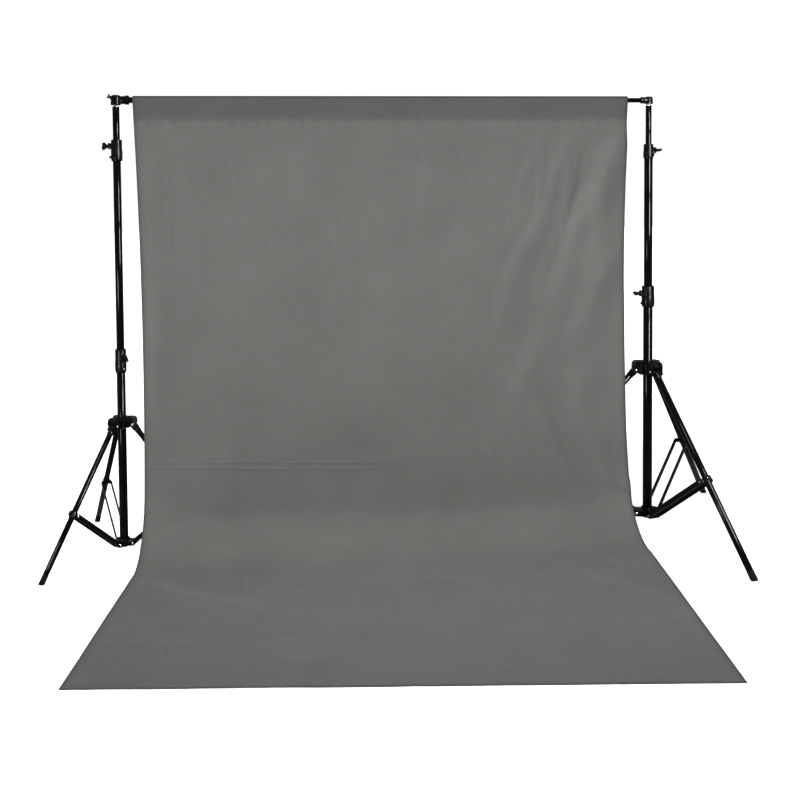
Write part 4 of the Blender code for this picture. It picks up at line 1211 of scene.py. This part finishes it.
def stitching(lines):
    """Short raised stitches along each line, as one mesh."""
    verts, faces = [], []
    for points, normals in lines:
        lengths = np.concatenate(([0], np.cumsum(np.linalg.norm(np.diff(points, axis=0), axis=1))))
        starts = np.arange(0.004, lengths[-1] - 0.006, STITCH + STITCH_GAP)
        def at(distance, table):
            return np.stack([np.interp(distance, lengths, table[:, axis]) for axis in range(3)], axis=1)
        first, last = at(starts, points), at(starts + STITCH, points)
        top = (first + last) / 2
        up = at(starts + STITCH / 2, normals)
        up /= np.linalg.norm(up, axis=1, keepdims=True)
        run = last - first
        run /= np.linalg.norm(run, axis=1, keepdims=True)
        side = np.cross(up, run) * THREAD
        for a, b, m, u, s, r in zip(first, last, top, up, side, run):
            base = len(verts)
            low = u * -0.0001
            verts += [tuple(a + low - s * 0.4), tuple(a + low + s * 0.4), tuple(m + low - s), tuple(m + low + s),
                      tuple(b + low - s * 0.4), tuple(b + low + s * 0.4), tuple(m + u * THREAD * 1.3)]
            faces += [(base, base + 1, base + 6), (base + 1, base + 3, base + 6), (base + 3, base + 5, base + 6),
                      (base + 5, base + 4, base + 6), (base + 4, base + 2, base + 6), (base + 2, base, base + 6),
                      (base + 1, base, base + 2, base + 3), (base + 3, base + 2, base + 4, base + 5)]
    mesh = bpy.data.meshes.new("stitching")
    mesh.from_pydata(verts, [], faces)
    return mesh


def closed_sheet_faces(count, width):
    """Faces of the front and the back of a sheet of rows and columns, and of the rim between them."""
    total, faces = count * width, []
    for r in range(count - 1):
        for c in range(width - 1):
            a, b, d, e = r * width + c, (r + 1) * width + c, (r + 1) * width + c + 1, r * width + c + 1
            faces.append((a, b, d, e))
            faces.append((total + e, total + d, total + b, total + a))
    rim = ([(r, 0) for r in range(count - 1)] + [(count - 1, c) for c in range(width - 1)]
           + [(r, width - 1) for r in range(count - 1, 0, -1)] + [(0, c) for c in range(width - 1, 0, -1)])
    for (r0, c0), (r1, c1) in zip(rim, rim[1:] + rim[:1]):
        a, b = r0 * width + c0, r1 * width + c1
        faces.append((b, a, total + a, total + b))
    return faces


def backdrop():
    """A closed thin sheet with turned hems, and the thread that holds its pocket and hems."""
    fine, across, down, edge, rows = fine_sheet()
    normals = sheet_normals(fine)
    fine = fine + normals * fine_relief(fine, rows)[..., None]
    normals = sheet_normals(fine)
    hem = 1 - smooth(edge, HEM_WIDTH - 0.0005, HEM_WIDTH + 0.0010)
    round_off = 1 - 0.7 * (1 - smooth(edge, 0.0, 0.0010))
    front = fine + normals * (CLOTH_HALF * round_off)[..., None]
    back = fine - normals * ((CLOTH_HALF + HEM_STEP * hem) * round_off)[..., None]
    back[..., 2] = np.where(fine[..., 2] < 0.02, np.maximum(back[..., 2], 0.0003), back[..., 2])
    count, width = fine.shape[:2]
    mesh = bpy.data.meshes.new("backdrop_cloth")
    mesh.from_pydata(np.concatenate((front.reshape(-1, 3), back.reshape(-1, 3))).tolist(), [],
                     closed_sheet_faces(count, width))
    sheet = bpy.data.objects.new("backdrop_cloth", mesh)
    bpy.context.scene.collection.objects.link(sheet)
    mesh.shade_smooth()
    mesh.set_sharp_from_angle(angle=math.radians(60))
    mesh.materials.append(MATERIALS["backdrop_fabric"])
    # painted shade on the cloth, stored in the tone attribute
    shade = painted_cloth_shade(fine, edge, rows)
    tone = mesh.attributes.new("tone", "FLOAT_COLOR", "POINT")
    colors = np.repeat(np.concatenate((shade.ravel(), shade.ravel()))[:, None], 4, axis=1)
    colors[:, 3] = 1
    tone.data.foreach_set("color", colors.ravel())
    place = mesh.attributes.new("flat_place", "FLOAT_VECTOR", "POINT")
    flat = np.stack((np.broadcast_to(across[None, :], edge.shape), np.broadcast_to(down[:, None], edge.shape),
                     np.zeros(edge.shape)), axis=2).reshape(-1, 3)
    place.data.foreach_set("vector", np.concatenate((flat, flat)).ravel())

    seam_row = int(np.argmin(np.abs(rows - (FIRST_WALL_ROW + WALL_ROWS * POCKET_DEPTH / (BAR.z - COVE_TOP)))))
    near_hem = int(np.argmin(np.abs(across - HEM_WIDTH)))
    lines = stitch_lines(fine, normals, (near_hem, width - 1 - near_hem),
                         (seam_row, int(np.argmin(np.abs(down[-1] - down - HEM_WIDTH)))))
    thread = bpy.data.objects.new("backdrop_stitching", stitching(lines))
    bpy.context.scene.collection.objects.link(thread)
    thread.data.shade_smooth()
    thread.data.materials.append(thread_material())
    for piece in (sheet, thread):
        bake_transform(piece)
    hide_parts("backdrop_drop", "backdrop_sweep")


make_camera()
make_studio()
for side in SIDES:
    tube_piece(side, "lower", "root")
    tube_piece(side, "middle", f"{side}_middle_section")
    tube_piece(side, "top", "crossbar")
    lock_collar_piece(side, "lower", "root")
    lock_collar_piece(side, "upper", f"{side}_middle_section")
    lock_knob_piece(side, "lower")
    lock_knob_piece(side, "upper")
    hub_pieces(side)
    base_hub_piece(side)
    for number in (1, 2, 3):
        leg_pieces(side, number)
        clip_piece(side, number)
        foot_piece(side, number)
        brace_pieces(side, number)
    spigot_piece(side)
    end_fitting_piece(side)
    wing_bolt_piece(side)
    plain_node(f"{side}_base_plug", "black_plastic")
    plain_node(f"{side}_guide_bush", "black_plastic")
bar_sections()
stop_ring_piece()
plain_node("bar_snap_button_1", "bright_steel")
plain_node("bar_snap_button_2", "bright_steel")
backdrop()
